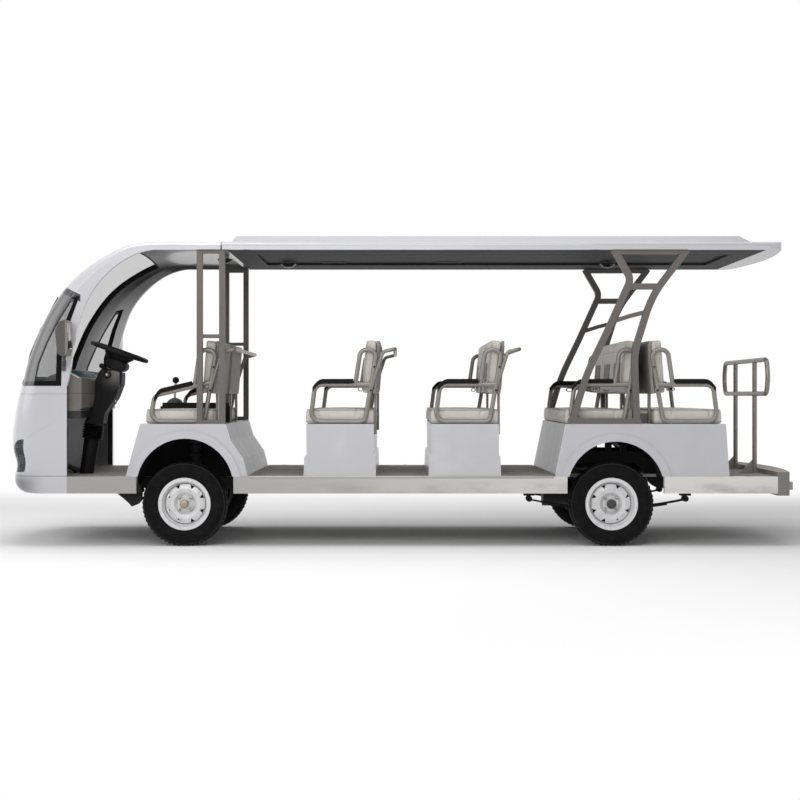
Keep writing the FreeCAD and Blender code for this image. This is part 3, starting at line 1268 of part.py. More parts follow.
def make_handrail():
    """Bent tube loop across the tail on two posts with corner gussets."""
    x = RAIL_POST_X
    low, high = RAIL_LOOP_LOW_Z, RAIL_LOOP_HIGH_Z
    half = RAIL_LOOP_HALF
    middle = (low + high) / 2
    right = [Vector(x, 0, low), Vector(x, half + 20, low), Vector(x, half + RAIL_LOOP_BULGE, middle),
             Vector(x, half + 20, high), Vector(x, 0, high)]
    loop = round_tube(right, (48, 150, 48), RAIL_TUBE_RADIUS)
    pieces = [loop, loop.mirror(Vector(0, 0, 0), Vector(0, 1, 0))]
    for y in (-RAIL_POST_Y, RAIL_POST_Y):
        pieces.append(Part.makeCylinder(RAIL_TUBE_RADIUS, high - FLOOR_Z, Vector(x, y, FLOOR_Z)))
        gusset = side_prism(((x - 86, FLOOR_Z), (x + 20, FLOOR_Z), (x + 20, FLOOR_Z + 10),
                             (x, FLOOR_Z + 92), (x - 12, FLOOR_Z + 92), (x - 86, FLOOR_Z + 12)),
                            y - 5, y + 5)
        foot = block(x - 92, x + 26, y - 34, y + 34, FLOOR_Z, FLOOR_Z + 8)
        pieces += [gusset, foot]
    keep("rear_handrail", fuse(pieces))


TAIL_LAMP_Y = 650.0


def make_tail_lamps():
    lamps = []
    share = TAIL_LAMP_Y / SIDE_Y
    face = STEP_CORNER_X + (REAR_X - STEP_CORNER_X) * (1 - share ** 2)
    step = plan_prism(step_outline(0.0), STEP_BOTTOM_Z, STEP_TOP_Z)
    for lamp in both_sides(block(face - 6, face + 16, -TAIL_LAMP_Y - 46, -TAIL_LAMP_Y + 46,
                                 STEP_BOTTOM_Z + 34, STEP_BOTTOM_Z + 86)):
        lamps.append(lamp.cut(step))
    keep("tail_lamps", lamps)


make_mirrors()
make_wiper()
make_rear_step()
make_handrail()
make_tail_lamps()


# ---- running gear ----------------------------------------------------------------------
def wheel_profile(points):
    """A closed section of (radius, offset outboard) points, as a face in the plane Z = 0."""
    corners = [Vector(radius, offset, 0) for radius, offset in points]
    return Part.Face(Part.makePolygon(corners + corners[:1]))


def turned(points):
    """The section turned about the axle, standing on the left side with its face to -Y."""
    solid = wheel_profile(points).revolve(Vector(0, 0, 0), Vector(0, 1, 0), 360)
    return solid


def place_wheel(shape, axle_x, side):
    """side is -1 on the left; offsets outboard are drawn towards +Y and turned round there."""
    placed = shape.copy()
    if side < 0:
        placed = placed.mirror(Vector(0, 0, 0), Vector(0, 1, 0))
    placed.translate(Vector(axle_x, side * WHEEL_Y, AXLE_Z))
    return placed


def tyre():
    half = TYRE_WIDTH / 2
    seat = RIM_SEAT_RADIUS
    bead = RIM_WIDTH / 2 - RIM_WALL - SEAT_GAP
    crown = TYRE_CROWN / 2
    side = [(seat, bead), (RIM_FLANGE_RADIUS + 0.6, bead), (RIM_FLANGE_RADIUS + 8, bead + 8),
            (193, half - 5), (214, half), (236, half - 3), (254, half - 10),
            (264, crown + 2), (269, crown - 12), (TYRE_RADIUS, 0)]
    other = [(radius, -offset) for radius, offset in reversed(side[:-1])]
    return turned(side + other)


def rim():
    """Pressed steel wheel: drop-centre barrel, dished disc with holes, hub and dust cap."""
    half = RIM_WIDTH / 2
    flange, seat, wall = RIM_FLANGE_RADIUS, RIM_SEAT_RADIUS, RIM_WALL
    gap = SEAT_GAP
    barrel = turned([(flange, -half), (flange, -half + wall), (seat - gap, -half + wall),
                     (seat - gap, -half + 24), (seat - 14, -half + 40), (seat - 14, half - 50),
                     (seat - gap, half - 34), (seat - gap, half - wall), (flange, half - wall),
                     (flange, half), (seat - wall - gap, half), (seat - wall - gap, half - 30),
                     (seat - 19, half - 46), (seat - 19, -half + 36),
                     (seat - wall - gap, -half + 20), (seat - wall - gap, -half)])
    face, thick = RIM_DISC_OFFSET, RIM_DISC_THICKNESS
    disc = turned([(SPINDLE_RADIUS + RUNNING_GAP, face - 18), (52, face - 18), (72, face - 4),
                   (98, face), (128, face - 8), (seat - 18, face - 30),
                   (seat - 18, face - 30 - thick), (126, face - 8 - thick),
                   (98, face - thick), (74, face - 4 - thick), (54, face - 18 - thick),
                   (SPINDLE_RADIUS + RUNNING_GAP, face - 18 - thick)])
    cutters = []
    for i in range(RIM_HOLES):
        angle = 360.0 * (i + 0.5) / RIM_HOLES
        size = RIM_HOLE_SIZE
        corners = [Vector(RIM_HOLE_CIRCLE + size * 0.55, 0, size * 0.8),
                   Vector(RIM_HOLE_CIRCLE + size * 0.55, 0, -size * 0.8),
                   Vector(RIM_HOLE_CIRCLE - size * 0.75, 0, 0)]
        hole = Part.Face(Part.makePolygon(corners + corners[:1])).extrude(Vector(0, 90, 0))
        hole.translate(Vector(0, -45, 0))
        hole.rotate(Vector(0, 0, 0), Vector(0, 1, 0), angle)
        cutters.append(hole)
    disc = disc.cut(cutters)
    hub = Part.makeCylinder(HUB_RADIUS, HUB_DEPTH - 14, Vector(0, face - HUB_DEPTH, 0),
                            Vector(0, 1, 0))
    cap = Part.makeCone(HUB_RADIUS * 0.72, HUB_RADIUS * 0.5, HUB_CAP_LENGTH,
                        Vector(0, face - 15, 0), Vector(0, 1, 0))
    bore = Part.makeCylinder(SPINDLE_RADIUS + RUNNING_GAP, HUB_DEPTH - 8,
                             Vector(0, face - HUB_DEPTH, 0), Vector(0, 1, 0))
    return fuse([barrel, disc, hub, cap]).cut(bore)


WHEEL_NAMES = (("front_left", FRONT_AXLE_X, -1), ("front_right", FRONT_AXLE_X, 1),
               ("rear_left", REAR_AXLE_X, -1), ("rear_right", REAR_AXLE_X, 1))


def make_wheels():
    one_tyre, one_rim = tyre(), rim()
    for name, x, side in WHEEL_NAMES:
        keep("tyre_" + name, place_wheel(one_tyre, x, side))
        keep("rim_" + name, place_wheel(one_rim, x, side))


SPINDLE_TIP_OFFSET = RIM_DISC_OFFSET - 10.0      # end of the spindle from the tyre's middle


def make_knuckle():
    """Left stub axle: a barrel round the kingpin, a spindle and the brake's backing plate."""
    x, y, z = FRONT_AXLE_X, -KINGPIN_Y, AXLE_Z
    barrel = Part.makeCylinder(KINGPIN_BARREL_RADIUS, KNUCKLE_HIGH_Z - KNUCKLE_LOW_Z,
                               Vector(x, y, KNUCKLE_LOW_Z))
    tip = -WHEEL_Y - SPINDLE_TIP_OFFSET
    hub_back = -WHEEL_Y - RIM_DISC_OFFSET + HUB_DEPTH + RUNNING_GAP
    spindle = cylinder_y(x, z, SPINDLE_RADIUS, y - 15, tip)
    boss = cylinder_y(x, z, SPINDLE_RADIUS + 14, y - 15, hub_back)
    plate = cylinder_y(x, z, BACKING_PLATE_RADIUS, hub_back,
                       hub_back + BACKING_PLATE_THICKNESS)
    plate = plate.cut(Part.makeCylinder(ARM_EYE_RADIUS + 8, 600, Vector(x, y, 0)))
    arm = block(x + 10, x + 120, y + 14, y + 34, z - 20, z)
    bore = Part.makeCylinder(KINGPIN_RADIUS + RUNNING_GAP, 300, Vector(x, y, z - 150))
    knuckle = fuse([barrel, spindle, boss, plate, arm]).cut(bore)
    keep("knuckle_left", knuckle)
    keep("knuckle_right", knuckle.mirror(Vector(0, 0, 0), Vector(0, 1, 0)))


def coil_spring(x, y, low, high, radius, wire):
    """Rings stand for the coil's turns, each joined to the next by the strut's body."""
    rings = []
    pitch = (high - low) / COIL_TURNS
    for i in range(COIL_TURNS + 1):
        rings.append(Part.makeTorus(radius, wire, Vector(x, y, low + i * pitch)))
    return rings


def make_front_suspension():
    """Upper and lower arms, kingpins and coil struts, held under the chassis rails."""
    x, y = FRONT_AXLE_X, -KINGPIN_Y
    low = KNUCKLE_LOW_Z - SEAT_GAP - ARM_THICKNESS
    high = KNUCKLE_HIGH_Z + SEAT_GAP
    pieces = []
    for z in (low, high):
        eye = Part.makeCylinder(ARM_EYE_RADIUS, ARM_THICKNESS, Vector(x, y, z))
        web = plan_prism(((x - 20, y), (x + 20, y), (x + 46, y + 90), (x + 110, -300),
                          (x + 60, -300), (x, y + 130), (x - 60, -300), (x - 110, -300),
                          (x - 30, y + 90)), z, z + ARM_THICKNESS)
        pieces += [eye, web]
    pin = Part.makeCylinder(KINGPIN_RADIUS, high - low + ARM_THICKNESS, Vector(x, y, low))
    pieces.append(pin)
    cradle_top = FLOOR_Z - FLOOR_THICKNESS - RAIL_HEIGHT
    cradle = block(x - 120, x + 120, -330, -230, low, low + ARM_THICKNESS)
    pieces.append(cradle)
    for leg_x in (x - 105, x + 65):
        pieces.append(block(leg_x, leg_x + 40, -330, -290, low, cradle_top + 0.0))
    strut_x = x + STRUT_SETBACK
    rod = Part.makeCylinder(STRUT_ROD_RADIUS, STRUT_TOP_Z - low - 5,
                            Vector(strut_x, -STRUT_Y, low + 5))
    coil = coil_spring(strut_x, -STRUT_Y, low + 150, STRUT_TOP_Z - 30,
                       STRUT_COIL_RADIUS - COIL_WIRE_RADIUS, COIL_WIRE_RADIUS)
    pan = Part.makeCylinder(STRUT_COIL_RADIUS, 8, Vector(strut_x, -STRUT_Y, low + 138))
    hat = Part.makeCylinder(STRUT_COIL_RADIUS, 12, Vector(strut_x, -STRUT_Y, STRUT_TOP_Z - 30))
    seat = block(strut_x - 30, strut_x + 30, -STRUT_Y - 26, -STRUT_Y + 80, low,
                 low + ARM_THICKNESS)
    sleeve = Part.makeCylinder(STRUT_COIL_RADIUS - 2 * COIL_WIRE_RADIUS + 2,
                               STRUT_TOP_Z - 60 - low, Vector(strut_x, -STRUT_Y, low + 60))
    pieces += [rod, pan, hat, seat, sleeve] + coil
    keep("front_suspension", both_sides(fuse(pieces)))


def make_rear_axle():
    """Live axle with its differential, and the drive motor bolted ahead of it."""
    x, z = REAR_AXLE_X, AXLE_Z
    tube_end = WHEEL_Y - RIM_DISC_OFFSET + 60 - 2 * (60 - RIM_DISC_OFFSET)
    pieces = [cylinder_y(x, z, 34, -tube_end, tube_end),
              Part.makeSphere(98, Vector(x, 0, z))]
    motor = Part.makeCylinder(92, 300, Vector(x - 380, 0, z + 30), Vector(1, 0, 0))
    pieces.append(motor)
    for y in (-tube_end, tube_end):
        side = math.copysign(1, y)
        pieces.append(cylinder_y(x, z, BACKING_PLATE_RADIUS, y - side * 12, y))
        stub_end = side * (WHEEL_Y + SPINDLE_TIP_OFFSET)
        pieces.append(cylinder_y(x, z, SPINDLE_RADIUS, y, stub_end))
    keep("rear_axle", fuse(pieces))


LEAF_WIDTH = 60.0
LEAF_THICKNESS = 9.0
LEAF_COUNT = 4


def make_leaf_springs():
    """Packs of bowed leaves under the axle, clamped to it, eyes on the chassis hangers."""
    x = REAR_AXLE_X
    low = AXLE_Z - 34 - SEAT_GAP - LEAF_THICKNESS
    pieces = []
    for leaf in range(LEAF_COUNT):
        half = SPRING_HALF * (1 - 0.24 * leaf)
        rise = (SPRING_EYE_Z - LEAF_THICKNESS - low) * (half / SPRING_HALF) ** 2
        z = low - leaf * LEAF_THICKNESS
        middle = Vector(x, -SPRING_Y, z)
        lower = Part.Arc(Vector(x - half, -SPRING_Y, z + rise), middle,
                         Vector(x + half, -SPRING_Y, z + rise)).toShape()
        upper = lower.copy()
        upper.translate(Vector(0, 0, LEAF_THICKNESS))
        ends = [Part.makeLine(lower.Vertexes[i].Point, upper.Vertexes[i].Point)
                for i in (0, 1)]
        face = Part.Face(Part.Wire(Part.__sortEdges__([lower, upper] + ends)))
        face.translate(Vector(0, -LEAF_WIDTH / 2, 0))
        pieces.append(face.extrude(Vector(0, LEAF_WIDTH, 0)))
    for eye_x in SPRING_EYE_X:
        pieces.append(cylinder_y(eye_x, SPRING_EYE_Z, SPRING_EYE_RADIUS,
                                 -SPRING_Y - LEAF_WIDTH / 2,
                                 -SPRING_Y + LEAF_WIDTH / 2))
    clamp = block(x - 45, x + 45, -SPRING_Y - LEAF_WIDTH / 2 - 8, -SPRING_Y + LEAF_WIDTH / 2 + 8,
                  low - LEAF_COUNT * LEAF_THICKNESS - 6, low + LEAF_THICKNESS)
    pieces.append(clamp)
    keep("leaf_springs", both_sides(fuse(pieces)))


make_wheels()
make_knuckle()
make_front_suspension()
make_rear_axle()
make_leaf_springs()

os.makedirs("parts", exist_ok=True)
for name, shape in parts.items():
    shape.exportStep("parts/" + name + ".step")
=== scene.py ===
import math

import bpy
from mathutils import Matrix, Vector


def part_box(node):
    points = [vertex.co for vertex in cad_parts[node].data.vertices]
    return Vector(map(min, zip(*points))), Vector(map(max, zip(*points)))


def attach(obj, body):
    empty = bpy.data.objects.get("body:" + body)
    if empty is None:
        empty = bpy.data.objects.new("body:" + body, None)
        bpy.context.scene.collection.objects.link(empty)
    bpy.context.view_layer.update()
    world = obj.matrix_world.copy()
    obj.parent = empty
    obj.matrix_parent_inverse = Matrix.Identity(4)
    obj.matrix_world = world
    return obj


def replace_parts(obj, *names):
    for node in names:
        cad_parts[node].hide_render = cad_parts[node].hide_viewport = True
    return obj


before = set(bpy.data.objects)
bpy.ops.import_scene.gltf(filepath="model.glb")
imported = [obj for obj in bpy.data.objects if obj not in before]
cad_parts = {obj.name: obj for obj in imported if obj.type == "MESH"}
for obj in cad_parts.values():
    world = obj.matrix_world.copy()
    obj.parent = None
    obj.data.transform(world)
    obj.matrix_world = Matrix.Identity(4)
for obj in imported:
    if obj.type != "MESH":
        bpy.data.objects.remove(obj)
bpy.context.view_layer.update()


# ---- painted body panels ---------------------------------------------------------------
# The nose, cab frame, roof, seat boxes and step are glass-fibre mouldings. They are sprayed
# in a pale grey white gloss, with narrow open joints where one moulding meets the next.


class Shade:
    """A shader socket that can be used in sums; each sum or call adds its node."""

    def __init__(self, tree, socket=None):
        self.tree = tree
        self.socket = socket

    def add(self, kind, inputs=(), output=0, **settings):
        node = self.tree.nodes.new("ShaderNode" + kind)
        for name, value in settings.items():
            setattr(node, name, value)
        for place, value in dict(inputs).items():
            if isinstance(value, Shade):
                self.tree.links.new(value.socket, node.inputs[place])
            else:
                node.inputs[place].default_value = value
        return Shade(self.tree, node.outputs[output])

    def math(self, operation, *values):
        return self.add("Math", enumerate(values), operation=operation)

    def __add__(self, other):
        return self.math("ADD", self, other)

    def __sub__(self, other):
        return self.math("SUBTRACT", self, other)

    def __rsub__(self, other):
        return self.math("SUBTRACT", other, self)

    def __mul__(self, other):
        return self.math("MULTIPLY", self, other)

    __radd__ = __add__
    __rmul__ = __mul__

    def axis(self, name):
        return self.add("SeparateXYZ", {0: self}, output="XYZ".index(name))

    def over(self, edge, soft):
        """0 below edge and 1 above it, turning within soft."""
        return self.add("MapRange", {0: self, 1: edge - soft / 2, 2: edge + soft / 2},
                        interpolation_type="SMOOTHSTEP")

    def near(self, place, width, soft):
        """1 within half of width of place, turning to 0 within soft."""
        return 1 - self.math("ABSOLUTE", self - place).over(width / 2, soft)

    def most(self, *others):
        """The largest of this and others."""
        largest = self
        for other in others:
            largest = self.math("MAXIMUM", largest, other)
        return largest

    def wave(self, pitch):
        """A smooth ridge for every pitch, from 0 to 1."""
        return self.math("SINE", self * (2 * math.pi / pitch)) * 0.5 + 0.5

    def blend(self, low, high):
        """A colour from low to high as this goes from 0 to 1."""
        colours = {6: (*low, 1) if isinstance(low, tuple) else low,
                   7: (*high, 1) if isinstance(high, tuple) else high}
        return self.add("Mix", {0: self, **colours}, output=2, data_type="RGBA")


class Finish:
    """A material: even values are set on its shader, and fields are linked to it."""

    def __init__(self, name, colour, roughness, shine=0.5, **even):
        self.material = bpy.data.materials.new(name)
        self.material.use_nodes = True
        self.tree = self.material.node_tree
        self.shader = self.tree.nodes["Principled BSDF"]
        self.shader.inputs["Base Color"].default_value = (*colour, 1)
        self.shader.inputs["Roughness"].default_value = roughness
        self.shader.inputs["Specular IOR Level"].default_value = shine
        for socket, value in even.items():
            self.shader.inputs[socket.replace("_", " ").title()].default_value = value
        self.place = Shade(self.tree).add("TexCoord", output=3)
        self.normal = Shade(self.tree).add("TexCoord", output=1)
        self.x, self.y, self.z = (self.place.axis(name) for name in "XYZ")

    def cloud(self, size, detail=3.0, stretch=(1.0, 1.0, 1.0)):
        """Soft random patches of about size metres, around 0.5."""
        spread = self.place.add("VectorMath", {0: self.place, 1: stretch}, operation="MULTIPLY")
        return self.place.add("TexNoise", {"Vector": spread, "Scale": 1 / size,
                                           "Detail": detail, "Roughness": 0.55})

    def cells(self, size):
        """Small rounded cells, as pressed leather or moulded grain has."""
        return self.place.add("TexVoronoi", {"Vector": self.place, "Scale": 1 / size},
                              feature="SMOOTH_F1")

    def aside(self):
        """How far a point lies from the middle plane, on either side."""
        return self.y.math("ABSOLUTE", self.y)

    def colour(self):
        """The colour field that is linked so far."""
        return Shade(self.tree, self.shader.inputs["Base Color"].links[0].from_socket)

    def attribute(self, name):
        return self.place.add("Attribute", output=2, attribute_name=name)

    def link(self, **fields):
        for socket, field in fields.items():
            target = self.shader.inputs[socket.replace("_", " ").title()]
            self.tree.links.new(field.socket, target)

    def relief(self, height, depth):
        """Raises the surface by height, where 1 stands for depth metres."""
        self.link(normal=height.add("Bump", {"Height": height, "Distance": depth}))

    def on(self, *nodes):
        """Puts the finish on solids of the frame."""
        for node in nodes:
            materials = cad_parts[node].data.materials
            materials.clear()
            materials.append(self.material)


PAINT = (0.50, 0.50, 0.525)
JOINT_DARK = (0.035, 0.035, 0.036)
DULL_BLACK = (0.006, 0.006, 0.006)


def gloss_paint(name, colour, joints):
    """Sprayed gloss with a trace of dust; joints gives the dark lines between panels and any
    painted shade in creases.
    """
    paint = Finish(name, colour, 0.3, coat_weight=0.5, coat_roughness=0.08)
    dust = paint.cloud(0.5).over(0.55, 0.35)
    gap_and_shade = joints(paint)
    tone = dust.blend(colour, tuple(0.955 * part for part in colour))
    paint.link(base_color=gap_and_shade.blend(tone, JOINT_DARK),
               roughness=0.27 + 0.1 * paint.cloud(0.06) + 0.4 * gap_and_shade)
    paint.relief(paint.cloud(0.02, 2.0) * 0.04 - gap_and_shade, 0.0015)
    return paint


NOSE_RECESS_Z = 0.982
BUMPER_JOINT_Z = 0.455
# A crease climbs rearwards from each headlamp: its slope, and its height over X = 0.
CREASE_SLOPE = 0.594
CREASE_RISE = 2.1116


# The crease and the soft recess under the windscreen are darkened as painted shade; the line over
# the bumper is a dark joint.
def nose_joints_and_shade(paint):
    upper = 0.35 * paint.z.near(NOSE_RECESS_Z, 0.006, 0.006)
    lower = 0.7 * paint.z.near(BUMPER_JOINT_Z, 0.004, 0.002)
    slant = paint.z - CREASE_SLOPE * paint.x - CREASE_RISE
    crease = (0.12 * slant.near(0.0, 0.004, 0.012) * paint.x.near(-2.29, 0.18, 0.05)
              * (1 - paint.x.over(-2.16, 0.1)))
    return upper.most(lower, crease)


# The cab's corner posts stand behind the side glass. Between the black bands of the glass's
# foot and head they are painted dark grey as painted shade. The inside of the whole cab is
# lined in grey, painted darker towards the roof as painted shade.
CORNER_SHADE_GREY = (0.10, 0.10, 0.102)
LINING_GREY = (0.74, 0.74, 0.755)
LINING_SHADE = (0.050, 0.050, 0.053)
LINING_SHADE_Z = 1.62
TOE_GREY = (0.20, 0.20, 0.205)
CAB_MIDDLE = (-1.2, 0.0, 1.35)
TOE_ROOM_MIDDLE = (-1.6, 0.0, 0.75)
GLASS_FOOT_Z = 1.034
GLASS_FOOT_X = -2.3323
GLASS_LEAN, GLASS_BOW = 0.1803, 0.473
HEAD_X, HEAD_Z = -2.017, 1.614
HEAD_LEAN, HEAD_RISE = 0.441, 0.897


def glass_front(place_x, place_z):
    """How far a point lies behind the front edge of the side glass."""
    up = place_z - GLASS_FOOT_Z
    return place_x - GLASS_FOOT_X - up * (GLASS_LEAN + up * GLASS_BOW)


def glass_head(place_x, place_z):
    """How far a point lies over the head of the side glass, square to its slope."""
    return HEAD_LEAN * (place_x - HEAD_X) + HEAD_RISE * (place_z - HEAD_Z)


def line_inside(paint, centre, colour, outside=None):
    """Colours the faces that look towards a point inside, and the rest with outside."""
    if outside is None:
        outside = paint.colour()
    to_face = paint.place.add("VectorMath", {0: paint.place, 1: centre}, operation="SUBTRACT")
    facing = paint.place.add("VectorMath", {0: to_face, 1: paint.normal}, output=1,
                             operation="DOT_PRODUCT").over(0.0, 0.02)
    shaded = tuple(0.85 * part for part in colour)
    lining = paint.cloud(0.4).over(0.5, 0.5).blend(colour, shaded)
    # Towards the roof the lining is painted darker as painted shade.
    lining = paint.z.over(LINING_SHADE_Z, 0.5).blend(lining, LINING_SHADE)
    paint.link(base_color=facing.blend(lining, outside))
    return paint


cab_paint = gloss_paint("cab_paint", PAINT, lambda paint: paint.x.near(
    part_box("cab_arch")[1][0] - 0.002, 0.006, 0.002))
head = glass_head(cab_paint.x, cab_paint.z)
top_band = head.over(-0.042, 0.002)
before_glass = 1 - glass_front(cab_paint.x, cab_paint.z).over(0.004, 0.002)
# The corner posts' dark grey is painted shade.
corner = (before_glass.most(top_band) * (1 - head.over(0.0, 0.002))
          * cab_paint.aside().over(0.618, 0.004)
          * (1 - cab_paint.x.over(-2.028, 0.002)))
bands = top_band.most(1 - cab_paint.z.over(GLASS_FOOT_Z + 0.030, 0.002))
sprayed = cab_paint.colour()
shaded_corner = corner.blend(sprayed, bands.blend(CORNER_SHADE_GREY, DULL_BLACK))
line_inside(cab_paint, CAB_MIDDLE, LINING_GREY, shaded_corner).on("cab_arch")

nose_paint = gloss_paint("nose_paint", PAINT, nose_joints_and_shade)
sprayed = nose_paint.colour()
edge = nose_paint.normal.axis("X").over(0.7, 0.1) * nose_paint.x.over(-2.125, 0.004)
trim = nose_paint.x.over(-2.150, 0.004) * nose_paint.z.over(0.46, 0.004)
# The low front of the bumper is painted darker as painted shade.
shaded_low_front = (1 - nose_paint.z.over(0.46, 0.12)) * (1 - nose_paint.x.over(-2.34, 0.20))
tone = (0.85 * shaded_low_front).blend(sprayed, (0.10, 0.10, 0.102))
line_inside(nose_paint, TOE_ROOM_MIDDLE, TOE_GREY, edge.blend(tone, DULL_BLACK))
lined = nose_paint.colour()
inner_side = nose_paint.aside().over(0.728, 0.004)
nose_paint.link(base_color=(trim * (1 - inner_side)).blend(lined, DULL_BLACK))
nose_paint.on("front_cowl")


# ---- seat boxes ------------------------------------------------------------------------
# Boxes over the wheels carry the seats. Their sides are gloss mouldings, and the faces that
# passengers' feet meet are covered with a grey ribbed kick panel.

KICK_GREY = (0.165, 0.165, 0.172)
RIB_PALE = (0.38, 0.38, 0.39)
KICK_HALF_WIDTH = 0.700
RIB_YS = (0.30, 0.33)


def box_finish(name, node, facing):
    """Gloss sides and a ribbed kick panel on the face that points to facing."""
    paint = Finish(name, PAINT, 0.3, coat_weight=0.4, coat_roughness=0.1)
    slope = (paint.normal.axis("X") * facing).over(0.25, 0.1)
    across = paint.aside()
    inside = 1 - across.over(KICK_HALF_WIDTH, 0.004)
    kick = slope * inside
    ribs = across.near(RIB_YS[0], 0.008, 0.002).most(across.near(RIB_YS[1], 0.008, 0.002))
    panel = ribs.blend(KICK_GREY, RIB_PALE)
    dust = paint.cloud(0.4).over(0.55, 0.3)
    tone = dust.blend(PAINT, tuple(0.94 * part for part in PAINT))
    locker = paint.z.over(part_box("front_seat_box")[1][2] + 0.002, 0.002)
    lid = paint.z.over(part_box(node)[1][2] - 0.018, 0.002)
    chest = lid.blend((0.065, 0.066, 0.07), (0.50, 0.42, 0.33))
    paint.link(base_color=locker.blend(kick.blend(tone, panel), chest),
               roughness=0.28 + 0.1 * paint.cloud(0.06) + 0.25 * kick)
    paint.relief(kick * ribs - slope * (1 - inside) * 0.5, 0.003)
    paint.on(node)


box_finish("front_box_paint", "front_seat_box", 1)
box_finish("rear_box_paint", "rear_seat_box", -1)
base = Finish("pedestal_paint", PAINT, 0.34, coat_weight=0.3, coat_roughness=0.12)
scuff = base.z.over(0.56, 0.2).blend((0.5, 0.5, 0.51), PAINT)
base.link(base_color=base.cloud(0.3).over(0.6, 0.3).blend(scuff, (0.55, 0.55, 0.56)),
          roughness=0.3 + 0.12 * base.cloud(0.05))
base.relief(base.cloud(0.02, 2.0), 0.0002)
base.on("middle_seat_bases")


# ---- sills and deck --------------------------------------------------------------------
# Folded aluminium sills close the frame's sides. The deck between them is plywood covered
# with a grey ribbed rubber sheet that ends in a bright edge strip on each side.

sill = Finish("sill_paint", (0.46, 0.445, 0.425), 0.42, coat_weight=0.15)
grime = sill.cloud(0.12, 5.0, (0.35, 1, 1)).over(0.55, 0.3) * (1 - sill.z.over(0.40, 0.08))
# Along its length the sill is painted darker at the front and lighter at the rear, as painted shade
# and painted light.
along = sill.x.over(0.1, 4.4)
sill.link(base_color=grime.blend(along.blend((0.32, 0.315, 0.31), (0.70, 0.68, 0.65)),
                                 (0.36, 0.35, 0.335)),
          roughness=0.36 + 0.2 * sill.cloud(0.03, 4.0, (0.2, 1, 1)))
sill.relief(sill.cloud(0.004, 2.0, (0.1, 1, 1)), 0.0002)
sill.on("side_sills")

deck = Finish("deck_rubber", (0.30, 0.288, 0.273), 0.72, shine=0.25)
rows = deck.y.wave(0.012)
wear = deck.cloud(0.25, 4.0).over(0.52, 0.3)
deck.link(base_color=wear.blend((0.28, 0.269, 0.257), (0.34, 0.325, 0.308)),
          roughness=0.6 + 0.2 * deck.cloud(0.02))
deck.relief(rows + 0.2 * deck.cloud(0.003), 0.0016)
deck.on("floor_deck")

# The bright edge strip is an angle of anodised aluminium that hooks over the sill's top. It
# runs between the seat boxes and is held by screws.


def new_piece(kind, name, **settings):
    """Adds a mesh primitive with nothing else selected."""
    bpy.ops.object.select_all(action="DESELECT")
    getattr(bpy.ops.mesh, "primitive_" + kind + "_add")(**settings)
    piece = bpy.context.object
    piece.name = name
    return piece


def only(piece):
    bpy.ops.object.select_all(action="DESELECT")
    piece.select_set(True)
    bpy.context.view_layer.objects.active = piece
    return piece


def block(name, low, high):
    """A box between two corners, ready to be shaped."""
    low, high = Vector(low), Vector(high)
    piece = new_piece("cube", name, size=1, location=(low + high) / 2)
    piece.scale = high - low
    bpy.ops.object.transform_apply()
    return piece


def pick(piece, test):
    """Opens the piece in edit mode with only the faces that pass the test selected."""
    only(piece)
    bpy.ops.object.mode_set(mode="EDIT")
    bpy.ops.mesh.select_mode(type="FACE")
    bpy.ops.mesh.select_all(action="DESELECT")
    bpy.ops.object.mode_set(mode="OBJECT")
    for face in piece.data.polygons:
        face.select = bool(test(face))
    bpy.ops.object.mode_set(mode="EDIT")


def close_edit():
    bpy.ops.object.mode_set(mode="OBJECT")


def inset_faces(piece, test, *steps):
    """Insets the faces that pass the test, once for each thickness and depth."""
    pick(piece, test)
    for thickness, depth in steps:
        bpy.ops.mesh.inset(thickness=thickness, depth=depth)
    close_edit()


def drop_faces(piece, test):
    """Deletes the faces that pass the test."""
    pick(piece, test)
    bpy.ops.mesh.delete(type="FACE")
    close_edit()


def modify(piece, kind, **settings):
    """Adds a modifier and applies it."""
    only(piece)
    change = piece.modifiers.new(kind, kind)
    for name, value in settings.items():
        setattr(change, name, value)
    bpy.ops.object.modifier_apply(modifier=change.name)
    return piece


def soften(piece, width, segments=2, angle=30):
    return modify(piece, "BEVEL", width=width, segments=segments,
                  angle_limit=math.radians(angle), limit_method="ANGLE")


def twin(piece, name):
    """A copy with its own mesh."""
    copy = piece.copy()
    copy.data = piece.data.copy()
    copy.name = name
    bpy.context.collection.objects.link(copy)
    return copy


def settle(piece, move=(0, 0, 0), turn=0.0, axis="Z"):
    """Turns and moves a piece and puts its place into its mesh."""
    piece.data.transform(Matrix.Translation(move) @ Matrix.Rotation(turn, 4, axis))
    return piece


def mirror_of(piece, name):
    """The same piece on the other side of the vehicle."""
    copy = twin(piece, name)
    copy.data.transform(Matrix.Scale(-1, 4, (0, 1, 0)))
    copy.data.flip_normals()
    return copy


def join(name, parts):
    bpy.ops.object.select_all(action="DESELECT")
    for part in parts:
        part.select_set(True)
    bpy.context.view_layer.objects.active = parts[0]
    if len(parts) > 1:
        bpy.ops.object.join()
    parts[0].name = name
    return parts[0]


def mount(piece, finish, body="chassis", angle=35):
    """Gives a finished piece its smooth shading, material and body."""
    only(piece)
    bpy.ops.object.transform_apply()
    bpy.ops.object.shade_smooth_by_angle(angle=math.radians(angle))
    piece.data.materials.clear()
    piece.data.materials.append(finish.material)
    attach(piece, body)
    return piece


def mount_pair(piece, finish):
    """Mounts a piece whose name ends in _left, and its mirror image on the right."""
    other = mirror_of(piece, piece.name.replace("_left", "_right"))
    mount(piece, finish)
    mount(other, finish)


